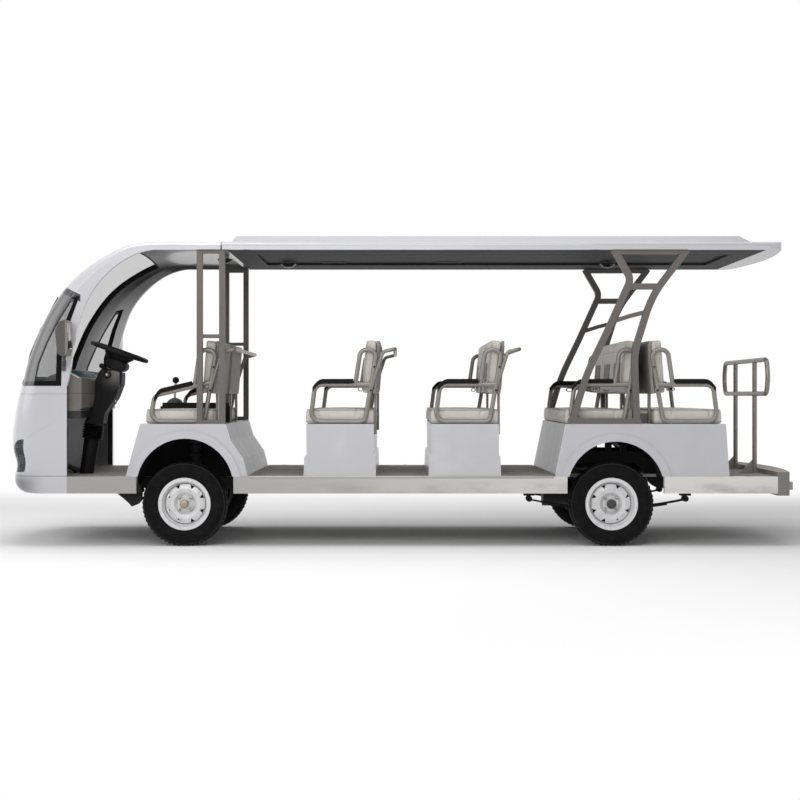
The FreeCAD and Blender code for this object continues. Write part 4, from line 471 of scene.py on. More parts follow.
def screws(name, places, radius, finish, body="chassis", axis=(0, 0, 1)):
    """Pan head screws with a hexagon socket, one at each place, as one piece."""
    head = new_piece("cylinder", name, vertices=20, radius=radius, depth=radius * 0.7)
    inset_faces(head, lambda face: face.normal.z > 0.9, (radius * 0.28, radius * 0.2),
                (radius * 0.2, -radius * 0.35))
    head.data.transform(Vector((0, 0, 1)).rotation_difference(Vector(axis)).to_matrix().to_4x4())
    heads = []
    for index, place in enumerate(places):
        heads.append(settle(twin(head, f"{name}_{index}"), place))
    bpy.data.objects.remove(head)
    return mount(join(name, heads), finish, body)


edge_metal = Finish("edge_metal", (0.36, 0.355, 0.35), 0.38, metallic=0.85)
edge_metal.relief(edge_metal.cloud(0.003, 2.0, (0.05, 1, 1)), 0.0002)
sill_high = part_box("side_sills")[1]
front_box_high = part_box("front_seat_box")[1]
rear_box_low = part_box("rear_seat_box")[0]
deck_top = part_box("floor_deck")[1][2]
strip = block("sill_edge_left", (front_box_high[0] + 0.01, -sill_high[1] - 0.001, deck_top - 0.012),
              (rear_box_low[0] - 0.01, -sill_high[1] + 0.035, deck_top + 0.0035))
drop_faces(strip, lambda face: face.normal.z < -0.9)
modify(strip, "SOLIDIFY", thickness=0.002, offset=-1)
soften(strip, 0.0012)
mount_pair(strip, edge_metal)

screw_metal = Finish("screw_metal", (0.4, 0.4, 0.4), 0.3, metallic=1.0)
screw_metal.link(roughness=0.25 + 0.25 * screw_metal.cloud(0.002))
SCREW_START, SCREW_PITCH = 0.12, 0.3
screw_xs = [front_box_high[0] + SCREW_START + SCREW_PITCH * n for n in range(6)]
screws("sill_screws", [(x, side * (sill_high[1] - 0.017), deck_top + 0.0038)
                       for x in screw_xs if x < rear_box_low[0] for side in (-1, 1)],
       0.005, screw_metal)


# ---- frame under the floor -------------------------------------------------------------
# The rails, axle, arms, springs and knuckles are steel, painted dull black. Road dust has
# settled on what points upwards.

STEEL_BLACK = (0.011, 0.011, 0.0115)
under = Finish("chassis_black", STEEL_BLACK, 0.6, shine=0.15)
dusty = under.cloud(0.08, 5.0).over(0.6, 0.3) * under.normal.axis("Z").over(0.4, 0.6)
under.link(base_color=dusty.blend(STEEL_BLACK, (0.03, 0.028, 0.026)),
           roughness=0.5 + 0.25 * under.cloud(0.02))
under.relief(under.cloud(0.0015, 2.0), 0.0002)
under.on("chassis_frame", "knuckle_left", "knuckle_right", "front_suspension", "rear_axle",
         "leaf_springs", "battery_pack", "pedals")

liner = Finish("liner_plastic", (0.007, 0.007, 0.0073), 0.75, shine=0.08)
liner.link(roughness=0.65 + 0.2 * liner.cloud(0.03))
liner.relief(liner.cells(0.0018), 0.0004)
liner.on("wheel_liners")


# ---- wheels ----------------------------------------------------------------------------
# Pressed steel wheels sprayed silver grey, each held by four domed nuts. The front ones
# have a brass dust cap over the bearing, the rear ones a black one over the drive flange.

WHEEL_SILVER = (0.68, 0.68, 0.69)
DUSTY_SILVER = (0.58, 0.577, 0.58)
wheel_paint = Finish("wheel_silver", WHEEL_SILVER, 0.36, metallic=0.2, coat_weight=0.2)
brake_dust = wheel_paint.cloud(0.03, 4.0).over(0.58, 0.3)
# Behind the disc the barrel is painted near black as painted shade.
rim_low, rim_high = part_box("rim_front_right")
RIM_BACK_Y = (rim_low[1] + rim_high[1]) / 2 - 0.008
shaded_barrel = 1 - wheel_paint.aside().over(RIM_BACK_Y, 0.004)
silver_grey = brake_dust.blend(WHEEL_SILVER, DUSTY_SILVER)
wheel_paint.link(base_color=shaded_barrel.blend(silver_grey, (0.008, 0.008, 0.008)),
                 roughness=0.32 + 0.15 * wheel_paint.cloud(0.01))
wheel_paint.relief(wheel_paint.cloud(0.004, 2.0), 0.0002)
WHEELS = ("front_left", "front_right", "rear_left", "rear_right")
wheel_paint.on(*("rim_" + wheel for wheel in WHEELS))

brass = Finish("cap_brass", (0.34, 0.29, 0.2), 0.35, metallic=1.0)
brass.link(roughness=0.3 + 0.2 * brass.cloud(0.005))
black_metal = Finish("black_metal", (0.03, 0.03, 0.031), 0.45)
black_metal.relief(black_metal.cloud(0.002, 2.0), 0.0001)
NUT_CIRCLE = 0.055
NUT_RADIUS = 0.0105

nut = new_piece("cylinder", "nut", vertices=6, radius=NUT_RADIUS, depth=0.014)
bpy.ops.object.mode_set(mode="EDIT")
bpy.ops.mesh.subdivide(number_cuts=3)
close_edit()
soften(nut, 0.0012)
dome = new_piece("uv_sphere", "dome", segments=20, ring_count=10, radius=NUT_RADIUS * 0.86)
settle(dome, (0, 0, 0.006))
washer = new_piece("cylinder", "washer", vertices=24, radius=NUT_RADIUS * 1.25, depth=0.003)
settle(soften(washer, 0.0008), (0, 0, -0.007))
nut = join("nut", [nut, dome, washer])
nut.data.transform(Matrix.Rotation(math.radians(90), 4, "X"))


def cap_for(radius, length, rounding):
    """A pressed cap whose axis is Y and whose closed end points to -Y."""
    cap = new_piece("cylinder", "cap", vertices=40, radius=radius, depth=length)
    inset_faces(cap, lambda face: face.normal.z > 0.9, (radius * 0.2, length * 0.16),
                (radius * 0.35, length * 0.05))
    soften(cap, rounding, 3)
    cap.data.transform(Matrix.Rotation(math.radians(90), 4, "X"))
    return cap


for wheel in WHEELS:
    low, high = (Vector(corner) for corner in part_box("rim_" + wheel))
    side = -1 if "left" in wheel else 1
    centre = (low + high) / 2
    tip = low.y if side < 0 else high.y
    face_y = tip - side * 0.037
    nuts = []
    for index in range(4):
        angle = math.radians(45 + 90 * index)
        place = Vector((centre.x + NUT_CIRCLE * math.cos(angle), face_y,
                        centre.z + NUT_CIRCLE * math.sin(angle)))
        one = twin(nut, f"nut_{index}")
        settle(one, turn=0.0 if side < 0 else math.pi)
        nuts.append(settle(one, place))
    mount(join("nuts_" + wheel, nuts), screw_metal, "wheel_" + wheel)
    cap = cap_for(0.027, 0.034, 0.003) if "front" in wheel else cap_for(0.031, 0.026, 0.004)
    settle(cap, turn=0.0 if side < 0 else math.pi)
    settle(cap, (centre.x, tip + side * (0.0 if "front" in wheel else -0.004), centre.z))
    cap.name = "cap_" + wheel
    mount(cap, brass if "front" in wheel else black_metal, "wheel_" + wheel)
bpy.data.objects.remove(nut)


# ---- tyres -----------------------------------------------------------------------------
# Small van tyres with four grooves round the tread, slots across its shoulders and a thin rim
# guard on each wall. The rubber is dull black, a little browner on the walls. A pale ring on
# a rib near each shoulder is a painted highlight.

tyre_low, tyre_high = (Vector(corner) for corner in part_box("tyre_front_left"))
TYRE_RADIUS = (tyre_high.z - tyre_low.z) / 2
TYRE_HALF = (tyre_high.y - tyre_low.y) / 2
BEAD_RADIUS = 0.1705
SLOTS = 56

rubber = Finish("tyre_rubber", (0.006, 0.006, 0.0062), 0.62, shine=0.08)
walls = rubber.cloud(0.05, 4.0).over(0.55, 0.3).blend((0.0055, 0.0055, 0.0057),
                                                     (0.010, 0.0097, 0.0092))
rubber.link(base_color=rubber.attribute("rib_highlight").over(0.7, 0.5).blend(walls, (0.13, 0.125, 0.12)),
            roughness=0.62 + 0.2 * rubber.cloud(0.01))
rubber.relief(rubber.cloud(0.0012, 3.0), 0.0003)

# Half section from the bead out to the middle of the tread: distance across, then radius.
section = [(0.051, BEAD_RADIUS), (0.058, BEAD_RADIUS + 0.003), (0.062, BEAD_RADIUS + 0.010),
           (0.0665, BEAD_RADIUS + 0.016), (0.0670, BEAD_RADIUS + 0.020),
           (0.0705, BEAD_RADIUS + 0.030), (TYRE_HALF, BEAD_RADIUS + 0.046),
           (TYRE_HALF - 0.0005, BEAD_RADIUS + 0.054), (TYRE_HALF - 0.0022, BEAD_RADIUS + 0.056),
           (TYRE_HALF - 0.004, TYRE_RADIUS - 0.034), (TYRE_HALF - 0.009, TYRE_RADIUS - 0.022),
           (TYRE_HALF - 0.0125, TYRE_RADIUS - 0.0125), (TYRE_HALF - 0.0122, TYRE_RADIUS - 0.0110),
           (TYRE_HALF - 0.0135, TYRE_RADIUS - 0.0098), (0.056, TYRE_RADIUS - 0.004),
           (0.051, TYRE_RADIUS - 0.0015), (0.0465, TYRE_RADIUS - 0.0010),
           (0.037, TYRE_RADIUS - 0.0005),
           (0.0365, TYRE_RADIUS - 0.0075), (0.0305, TYRE_RADIUS - 0.0075),
           (0.030, TYRE_RADIUS), (0.013, TYRE_RADIUS), (0.0125, TYRE_RADIUS - 0.0075),
           (0.0065, TYRE_RADIUS - 0.0075), (0.006, TYRE_RADIUS), (0.0, TYRE_RADIUS)]
outline = section + [(-y, r) for y, r in reversed(section[:-1])]
tyre = new_piece("grid", "tyre", x_subdivisions=len(outline) - 1, y_subdivisions=1, size=1)
pick(tyre, lambda face: True)
bpy.ops.mesh.delete(type="ONLY_FACE")
close_edit()
near_row = sorted((v for v in tyre.data.vertices if v.co.y < 0), key=lambda v: v.co.x)
for vertex, (across, radius) in zip(near_row, outline):
    vertex.co = (0, across, radius)
for vertex in tyre.data.vertices:
    vertex.select = vertex.co.y == 0.5
bpy.ops.object.mode_set(mode="EDIT")
bpy.ops.mesh.select_mode(type="VERT")
bpy.ops.mesh.delete(type="VERT")
bpy.ops.mesh.select_all(action="SELECT")
bpy.ops.mesh.spin(steps=SLOTS * 2, angle=2 * math.pi, center=(0, 0, 0), axis=(0, 1, 0))
bpy.ops.mesh.remove_doubles(threshold=0.0001)
bpy.ops.mesh.normals_make_consistent(inside=False)
close_edit()


def shoulder_slot(face):
    """Every other face of the two shoulder bands."""
    turn = math.atan2(face.center.z, face.center.x) / (2 * math.pi) * SLOTS * 2
    return 0.036 < abs(face.center.y) < 0.0470 and int(turn // 1) % 2 \
        and math.hypot(face.center.x, face.center.z) > TYRE_RADIUS - 0.003


pick(tyre, shoulder_slot)
bpy.ops.mesh.inset(thickness=0.0006, depth=-0.004)
close_edit()
# The rib near each shoulder is marked for a pale ring, a painted highlight.
rib_highlight = tyre.data.attributes.new("rib_highlight", "FLOAT", "POINT")
for vertex in tyre.data.vertices:
    rib = math.hypot(vertex.co.x, vertex.co.z) - (TYRE_RADIUS - 0.0110)
    rib_highlight.data[vertex.index].value = 1.0 if abs(rib) < 0.0009 else 0.0
for wheel in WHEELS:
    low, high = (Vector(corner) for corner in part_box("tyre_" + wheel))
    one = settle(twin(tyre, "tread_" + wheel), (low + high) / 2)
    mount(one, rubber, "wheel_" + wheel)
    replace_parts(one, "tyre_" + wheel)
bpy.data.objects.remove(tyre)


# ---- seat frames -----------------------------------------------------------------------
# Every row hangs on hoops of bent steel tube, powder coated in a warm silver grey. A grab
# rail of thinner tube runs behind the backrest, and bolts with black caps fix the pads.

TUBE_GREY = (0.235, 0.218, 0.202)
POST_GREY = (0.135, 0.124, 0.117)
tube_coat = Finish("tube_coat", TUBE_GREY, 0.36, metallic=0.35)
tube_coat.link(base_color=tube_coat.cloud(0.06).over(0.55, 0.4).blend(
                   TUBE_GREY, tuple(0.88 * part for part in TUBE_GREY)),
               roughness=0.3 + 0.14 * tube_coat.cloud(0.01))
tube_coat.relief(tube_coat.cloud(0.0012, 2.0), 0.0001)
tube_coat.on("seat_frames", "rear_handrail")
post_coat = Finish("post_coat", POST_GREY, 0.5, shine=0.3, metallic=0.1)
post_coat.link(base_color=post_coat.cloud(0.2).over(0.55, 0.4).blend(
                   POST_GREY, (0.122, 0.112, 0.106)),
               roughness=0.42 + 0.14 * post_coat.cloud(0.01))
post_coat.relief(post_coat.cloud(0.0012, 2.0), 0.0001)
post_coat.on("front_post_frames", "rear_arch_frames")

BOX_TOP = front_box_high[2]
HOOP_Y = 0.722
INNER_HOOP_Y = 0.681
# Where the back of each row's cushion stands, and which way the row faces.
ROW_BACKS = ((-1.184, -1), (-0.146, -1), (0.657, -1), (1.527, -1), (1.657, 1))

black_plastic = Finish("black_plastic", (0.010, 0.010, 0.0103), 0.5, shine=0.12)
black_plastic.link(roughness=0.42 + 0.2 * black_plastic.cloud(0.04))
black_plastic.relief(black_plastic.cells(0.0012), 0.0002)


def row_place(row, reach, y, rise):
    """A point in a row: reach in front of its back, y across and rise over the seat box."""
    back_x, facing = ROW_BACKS[row]
    return Vector((back_x + facing * reach, y, BOX_TOP + rise))


def hoop_y(row):
    return INNER_HOOP_Y if row in (0, 3) else HOOP_Y


button = new_piece("cylinder", "button", vertices=20, radius=0.0065, depth=0.004)
inset_faces(button, lambda face: face.normal.z > 0.9, (0.0018, 0.0012))
button.data.transform(Matrix.Rotation(math.radians(90), 4, "X"))
buttons = []
for row in range(len(ROW_BACKS)):
    for side in (-1, 1):
        for reach, rise in ((-0.003, 0.366), (0.020, 0.216)):
            one = settle(twin(button, "button"), turn=0.0 if side < 0 else math.pi)
            y = side * (hoop_y(row) + 0.0150)
            buttons.append(settle(one, row_place(row, reach, y, rise)))
bpy.data.objects.remove(button)
mount(join("hoop_buttons", buttons), black_plastic)

# Each armrest tube carries a small welded ring for the passengers' safety chain and a flat
# gusset where the arm meets the back leg.
rings, gussets = [], []
for row in range(len(ROW_BACKS)):
    facing = ROW_BACKS[row][1]
    for side in (-1, 1):
        ring = new_piece("torus", "ring", major_radius=0.0125, minor_radius=0.0028,
                         major_segments=28, minor_segments=10,
                         rotation=(math.radians(90), 0, 0))
        bpy.ops.object.transform_apply(location=False, rotation=True, scale=False)
        long = row > 2
        ring.data.transform(Matrix.Scale(1.9 if long else 1.15, 4, (1, 0, 0)))
        rings.append(settle(ring, row_place(row, (0.245 if row == 3 else 0.105) if long
                                            else 0.087, side * hoop_y(row), 0.224)))
        low = row_place(row, 0.020, side * hoop_y(row) - 0.003, 0.196 if long else 0.215)
        high = row_place(row, (0.212 if row == 3 else 0.066) if long else 0.066,
                         side * hoop_y(row) + 0.003, 0.2505)
        plate = block("gusset", (min(low.x, high.x), low.y, low.z),
                      (max(low.x, high.x), high.y, high.z))
        pick(plate, lambda face: (face.normal.x * facing) > 0.9)
        bpy.ops.transform.resize(value=(1, 1, 0.45), center_override=(low.x, low.y, high.z))
        close_edit()
        gussets.append(soften(plate, 0.0025))
mount(join("arm_rings", rings), tube_coat)
mount(join("arm_gussets", gussets), tube_coat)

pad_plastic = Finish("armrest_black", (0.011, 0.011, 0.0115), 0.55, shine=0.05)
pad_plastic.link(roughness=0.45 + 0.2 * pad_plastic.cloud(0.05))
pad_plastic.relief(pad_plastic.cells(0.0016), 0.0003)

# The arm tube's length and the middle of the grip's underside. The front row's arms slope.
ARM_REACH = 0.358
ARM_HEIGHT = 0.274
GRIP_REACH = 0.263
FRONT_ARM_LIFT = 0.014
FRONT_ARM_DROP = 0.084


def armrest(row, side, drop):
    """A moulded grip: crowned along its top, hooked over the end of the tube."""
    length, width, thick = 0.262, 0.046, 0.026
    facing = ROW_BACKS[row][1]
    pad = new_piece("cube", "armrest", size=1)
    pad.data.transform(Matrix.Diagonal((length, width, thick, 1)))
    bpy.ops.object.mode_set(mode="EDIT")
    bpy.ops.mesh.select_all(action="SELECT")
    bpy.ops.mesh.subdivide(number_cuts=9)
    close_edit()
    for vertex in pad.data.vertices:
        along = vertex.co.x / (length / 2)
        lift = vertex.co.z / (thick / 2)
        vertex.co.z -= 0.050 * max(0.0, (along - 0.60) / 0.40) ** 1.7
        if lift > 0:
            vertex.co.z += 0.003 * (1 - (vertex.co.y / (width / 2)) ** 2)
            vertex.co.y *= 0.9
    modify(pad, "BEVEL", width=0.006, segments=3, limit_method="ANGLE",
           angle_limit=math.radians(40))
    modify(pad, "SUBSURF", levels=1, render_levels=1)
    if facing < 0:
        pad.data.transform(Matrix.Rotation(math.pi, 4, "Z"))
    slope = math.atan2(drop, ARM_REACH)
    pad.data.transform(Matrix.Rotation(-facing * -slope, 4, "Y"))
    inset = 0.008 if row == 3 else 0.0
    lift = FRONT_ARM_LIFT if row == 0 else 0.0
    rise = ARM_HEIGHT + lift - drop * (GRIP_REACH - 0.020) / ARM_REACH
    return settle(pad, row_place(row, GRIP_REACH, side * (hoop_y(row) - inset), rise))


pads = [armrest(row, side, FRONT_ARM_DROP if row == 0 else 0.0)
        for row in range(len(ROW_BACKS)) for side in (-1, 1)]
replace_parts(mount(join("armrest_grips", pads), pad_plastic), "armrest_pads")


# ---- cushions and backrests ------------------------------------------------------------
# Foam pads in pale beige synthetic leather. The top is sewn to a side band with piping, and
# channels divide each bench into places. Backrests have a dark inset for each place.

VINYL = (0.56, 0.53, 0.485)
VINYL_SHADE = (0.50, 0.47, 0.43)
INSET = (0.050, 0.020, 0.021)
CUSHION_DEPTH, CUSHION_HEIGHT = 0.442, 0.103
BENCH_HALF = 0.7072
REAR_HALF = 0.6662
PLACE_HALF = 0.302
PAD_GRID = 0.013
CUSHION_CAP = 0.007

vinyl = Finish("seat_vinyl", VINYL, 0.42, coat_weight=0.12, coat_roughness=0.3)
across, rise, front = (vinyl.attribute(name) for name in ("across", "rise", "front"))
inset = (across.near(0.0, 0.60, 0.012) * rise.near(0.105, 0.185, 0.004)
         * front.over(0.5, 0.3))
leather = vinyl.cloud(0.09, 3.0).over(0.52, 0.4).blend(VINYL, VINYL_SHADE)
vinyl.link(base_color=inset.blend(leather, INSET),
           roughness=0.36 + 0.16 * vinyl.cloud(0.02) + 0.1 * inset)
vinyl.relief(vinyl.cells(0.0013) * 0.6 + vinyl.cloud(0.02, 2.0) * 0.8, 0.0006)

piping = Finish("seat_piping", (0.44, 0.41, 0.37), 0.45)
piping.relief(piping.cells(0.0012), 0.0003)


def foam(name, low, high, corner, held, swell, cap):
    """A padded form: a box with round edges, blown up against the seams that are held."""
    pad = block(name, low, high)
    soften(pad, corner, 4)
    only(pad)
    pad.data.remesh_voxel_size = PAD_GRID
    bpy.ops.object.voxel_remesh()
    pin = pad.vertex_groups.new(name="seams")
    pin.add([v.index for v in pad.data.vertices if held(v.co)], 1.0, "REPLACE")
    start = [v.co.copy() for v in pad.data.vertices]
    cloth = pad.modifiers.new("cloth", "CLOTH")
    cloth.settings.use_pressure = True
    cloth.settings.uniform_pressure_force = swell
    cloth.settings.effector_weights.gravity = 0
    cloth.settings.vertex_group_mass = "seams"
    for step in range(1, 21):
        bpy.context.scene.frame_set(step)
    bpy.ops.object.modifier_apply(modifier=cloth.name)
    bpy.context.scene.frame_set(1)
    for vertex, was in zip(pad.data.vertices, start):
        move = vertex.co - was
        if move.length > cap:
            vertex.co = was + move * (cap / move.length)
    pad.vertex_groups.clear()
    modify(pad, "SMOOTH", factor=0.5, iterations=2)
    modify(pad, "SUBSURF", levels=1, render_levels=1)
    return pad


def press(pad, seams, width, depth):
    """Draws the cover in along sewn lines; seams gives a point's distance to the nearest."""
    normals = [v.normal.copy() for v in pad.data.vertices]
    for vertex, normal in zip(pad.data.vertices, normals):
        share = seams(vertex.co) / width
        if share < 1:
            vertex.co -= normal * depth * (1 - share * share) ** 2


def note(pad, **fields):
    """Stores what the cover's pattern follows as values on the mesh's points."""
    for name, rule in fields.items():
        layer = pad.data.attributes.new(name, "FLOAT", "POINT")
        for vertex in pad.data.vertices:
            layer.data[vertex.index].value = rule(vertex.co)


def seat_pad(name, half, places):
    """One row's cushion: its back at X = 0, facing -X, lying on Z = 0."""
    pitch = 2 * half / places
    joints = [-half + pitch * n for n in range(1, places)]
    top = CUSHION_HEIGHT - 0.014

    def held(p):
        rim = max(abs(p.y) - half + 0.02, -p.x - CUSHION_DEPTH + 0.02, p.x + 0.02)
        return p.z < 0.012 or (p.z > top - 0.01 and abs(rim) < 0.013)

    pad = foam(name, (-CUSHION_DEPTH + 0.004, -half + 0.002, 0.001), (-0.001, half - 0.002, top),
               0.010, held, 1.8, CUSHION_CAP)

    def seams(p):
        if p.z < 0.04:
            return 1.0
        return min([abs(p.y - joint) for joint in joints]
                   + [abs(p.x + 0.115), abs(p.x + 0.36)] + [1.0])

    press(pad, seams, 0.011, 0.0065)
    note(pad, across=lambda p: p.y, rise=lambda p: -1.0, front=lambda p: 0.0)
    return pad


BACK_HEIGHT, BACK_THICK = 0.340, 0.074


def back_pad(name, half, places):
    """One row's backrest pad, upright, its rear at X = 0, facing -X, its foot on Z = 0."""
    pitch = 2 * half / places

    def local(y):
        return (y + half) / pitch % 1.0 - 0.5

    def held(p):
        edge = min(half - abs(p.y), p.z, BACK_HEIGHT - p.z)
        return p.x > -0.012 or edge < 0.012

    pad = foam(name, (-BACK_THICK + 0.006, -half + 0.002, 0.0), (-0.001, half - 0.002, BACK_HEIGHT),
               0.014, held, 3.0, 0.009)

    def seams(p):
        if p.x > -0.03:
            return 1.0
        place = abs(local(p.y))
        upright = abs(place - 0.30) * pitch if 0.0 < p.z < 0.21 else 1.0
        level = min(abs(p.z - 0.0125), abs(p.z - 0.1975)) if place < 0.31 else 1.0
        between = abs(0.5 - place) * pitch
        return min(upright, level, between if places > 1 else 1.0, abs(p.z - 0.27))

    press(pad, seams, 0.010, 0.006)
    note(pad, across=lambda p: local(p.y), rise=lambda p: p.z,
         front=lambda p: 1.0 if p.x < -0.03 else 0.0)
    return pad


def piping_loop(name, low, high, corner, plane):
    """A sewn cord round a panel's edge: a rounded rectangle in the plane X or Z."""
    loop = new_piece("plane", name, size=1)
    across_axis, up_axis = ((1, 2) if plane == "X" else (0, 1))
    for vertex in loop.data.vertices:
        spot = list(low)
        spot[across_axis] = high[across_axis] if vertex.co.x > 0 else low[across_axis]
        spot[up_axis] = high[up_axis] if vertex.co.y > 0 else low[up_axis]
        vertex.co = spot
    bpy.ops.object.mode_set(mode="EDIT")
    bpy.ops.mesh.select_all(action="SELECT")
    bpy.ops.mesh.bevel(offset=corner, segments=6, affect="VERTICES")
    bpy.ops.mesh.delete(type="ONLY_FACE")
    close_edit()
    bpy.ops.object.convert(target="CURVE")
    cord = bpy.context.object
    cord.data.bevel_depth = 0.0032
    cord.data.bevel_resolution = 3
    bpy.ops.object.convert(target="MESH")
    return bpy.context.object


def seat_shell(name, half, flutes):
    """The moulded rear cover of a backrest, with upright flutes, for an upright pad."""
    shell = new_piece("grid", name, x_subdivisions=flutes * 4, y_subdivisions=10, size=1)
    for vertex in shell.data.vertices:
        y, z = vertex.co.x * 2 * half, (vertex.co.y + 0.5) * BACK_HEIGHT
        wave = 0.5 - 0.5 * math.cos(2 * math.pi * (vertex.co.x + 0.5) * flutes)
        wrap = max(0.0, abs(vertex.co.x) * 2 - 0.975) / 0.025
        end = max(0.0, abs(vertex.co.y) * 2 - 0.8) / 0.2
        vertex.co = (0.020 - 0.009 * wave * (1 - end) - 0.018 * wrap ** 2 - 0.007 * end ** 2, y, z)
    modify(shell, "SOLIDIFY", thickness=0.006, offset=1)
    soften(shell, 0.002)
    return shell


BACK_LEAN = math.atan2(0.026, BACK_HEIGHT)
BACK_LOW = 0.196
BACK_GAP = 0.006


def place_row(piece, row, centre_y=0.0, back=False):
    """Moves a pad from where it was made to its row, leaning it if it is a backrest."""
    back_x, facing = ROW_BACKS[row]
    if back:
        piece.data.transform(Matrix.Rotation(BACK_LEAN, 4, "Y"))
        piece.data.transform(Matrix.Translation((-BACK_GAP, 0, BACK_LOW)))
    if facing > 0:
        piece.data.transform(Matrix.Rotation(math.pi, 4, "Z"))
    return settle(piece, (back_x, centre_y, BOX_TOP))


seat_shapes = {kind: (seat_pad(kind, half, places), back_pad(kind + "_back", half, places))
               for kind, half, places in (("bench", BENCH_HALF, 3), ("single", PLACE_HALF, 1))}
shell_grey = Finish("shell_grey", (0.29, 0.28, 0.265), 0.5)
shell_grey.link(roughness=0.42 + 0.16 * shell_grey.cloud(0.03))
shell_grey.relief(shell_grey.cells(0.002), 0.0003)
rows = [(0, "single", -0.364, 1.0), (0, "single", 0.364, 1.0), (1, "bench", 0.0, 1.0),
        (2, "bench", 0.0, 1.0), (3, "bench", 0.0, REAR_HALF / BENCH_HALF), (4, "bench", 0.0, 1.0)]
cushions, backs = [], []
for index, (row, kind, centre_y, stretch) in enumerate(rows):
    half = (BENCH_HALF if kind == "bench" else PLACE_HALF) * stretch
    narrow = Matrix.Diagonal((1, stretch, 1, 1))
    for shape, word, made in ((0, "cushion", cushions), (1, "backrest", backs)):
        pad = twin(seat_shapes[kind][shape], f"{word}_{index + 1}")
        pad.data.transform(narrow)
        mount(place_row(pad, row, centre_y, back=word == "backrest"), vinyl,
              angle=70)
        made.append(pad)
    top = CUSHION_HEIGHT - 0.013
    loops = [piping_loop("loop", (-CUSHION_DEPTH + 0.010, -half + 0.008, top),
                         (-0.008, half - 0.008, top), 0.02, "Z"),
             piping_loop("loop", (-CUSHION_DEPTH + 0.003, -half + 0.001, 0.016),
                         (-0.001, half - 0.001, 0.016), 0.02, "Z")]
    cords = join(f"cushion_piping_{index + 1}", loops)
    mount(place_row(cords, row, centre_y), piping)
    loop = piping_loop(f"back_piping_{index + 1}", (-BACK_THICK + 0.012, -half + 0.006, 0.006),
                       (-BACK_THICK + 0.012, half - 0.006, BACK_HEIGHT - 0.006), 0.022, "X")
    mount(place_row(loop, row, centre_y, back=True), piping)
    shell = seat_shell(f"back_shell_{index + 1}", half - 0.002, 22 if kind == "bench" else 9)
    mount(place_row(shell, row, centre_y, back=True), shell_grey)
for shape in seat_shapes.values():
    for pad in shape:
        bpy.data.objects.remove(pad)
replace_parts(cushions[0], "seat_cushions")
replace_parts(backs[0], "seat_backs")


# ---- roof and ceiling ------------------------------------------------------------------
# The roof is one gloss moulding with a raised middle. Its faces that look up are painted darker,
# and the faces under its rim black, as painted shade. A dark grey ceiling panel with a long
# recess closes it from below; near its long edges it is painted darker as painted shade.

roof_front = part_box("roof_shell")[0][0]
ROOF_TOP_SHADE = (0.345, 0.345, 0.365)
UNDER_RIM_SHADE = (0.008, 0.008, 0.008)
roof_paint = gloss_paint("roof_paint", PAINT, lambda paint: paint.x.near(
    roof_front + 0.002, 0.005, 0.002))
sprayed = roof_paint.colour()
# Faces that look down, under the rim, are painted black as painted shade.
shaded_under_rim = 1 - roof_paint.normal.axis("Z").over(-0.6, 0.1)
# Faces that look up are painted darker as painted shade.
facing_up = roof_paint.normal.axis("Z").over(0.30, 0.3)
shaded_top = facing_up.blend(sprayed, ROOF_TOP_SHADE)
line_inside(roof_paint, (0, 0, 1.2), LINING_GREY, shaded_top)
lined = roof_paint.colour()
roof_paint.link(base_color=shaded_under_rim.blend(lined, UNDER_RIM_SHADE))
roof_paint.on("roof_shell")

CEILING_GREY = (0.030, 0.030, 0.032)
ceiling = Finish("ceiling_grey", CEILING_GREY, 0.62, shine=0.1)
# Near its long edges the ceiling is painted darker as painted shade.
shaded_brim = ceiling.aside().over(0.60, 0.05)
felt = ceiling.cloud(0.5).over(0.5, 0.4).blend(CEILING_GREY, (0.024, 0.024, 0.026))
ceiling.link(base_color=shaded_brim.blend(felt, (0.012, 0.012, 0.013)),
             roughness=0.55 + 0.15 * ceiling.cloud(0.02))
ceiling.relief(ceiling.cells(0.002) * 0.3 + ceiling.cloud(0.02, 2.0), 0.0004)
ceiling.on("ceiling_panel")


def slab(name, outline, start, end, across="Y"):
    """A prism: a side view's outline drawn from y = start to end, or a front view's in x."""
    piece = new_piece("circle", name, vertices=len(outline), fill_type="NGON")
    for vertex, (a, b) in zip(piece.data.vertices, outline):
        vertex.co = (a, start, b) if across == "Y" else (start, a, b)
    step = Vector((0, end - start, 0) if across == "Y" else (end - start, 0, 0))
    bpy.ops.object.mode_set(mode="EDIT")
    bpy.ops.mesh.select_all(action="SELECT")
    bpy.ops.mesh.extrude_region_move(TRANSFORM_OT_translate={"value": step})
    bpy.ops.mesh.select_all(action="SELECT")
    bpy.ops.mesh.normals_make_consistent(inside=False)
    close_edit()
    return piece


def rod(name, points, radius, smooth=True):
    """A round rod through points."""
    curve = bpy.data.curves.new(name, "CURVE")
    curve.dimensions = "3D"
    spline = curve.splines.new("BEZIER")
    spline.bezier_points.add(len(points) - 1)
    for knot, place in zip(spline.bezier_points, points):
        knot.co = place
        knot.handle_left_type = knot.handle_right_type = "AUTO" if smooth else "VECTOR"
    curve.bevel_depth = radius
    curve.bevel_resolution = 4
    curve.resolution_u = 10
    curve.use_fill_caps = True
    piece = bpy.data.objects.new(name, curve)
    bpy.context.collection.objects.link(piece)
    only(piece)
    bpy.ops.object.convert(target="MESH")
    return bpy.context.object


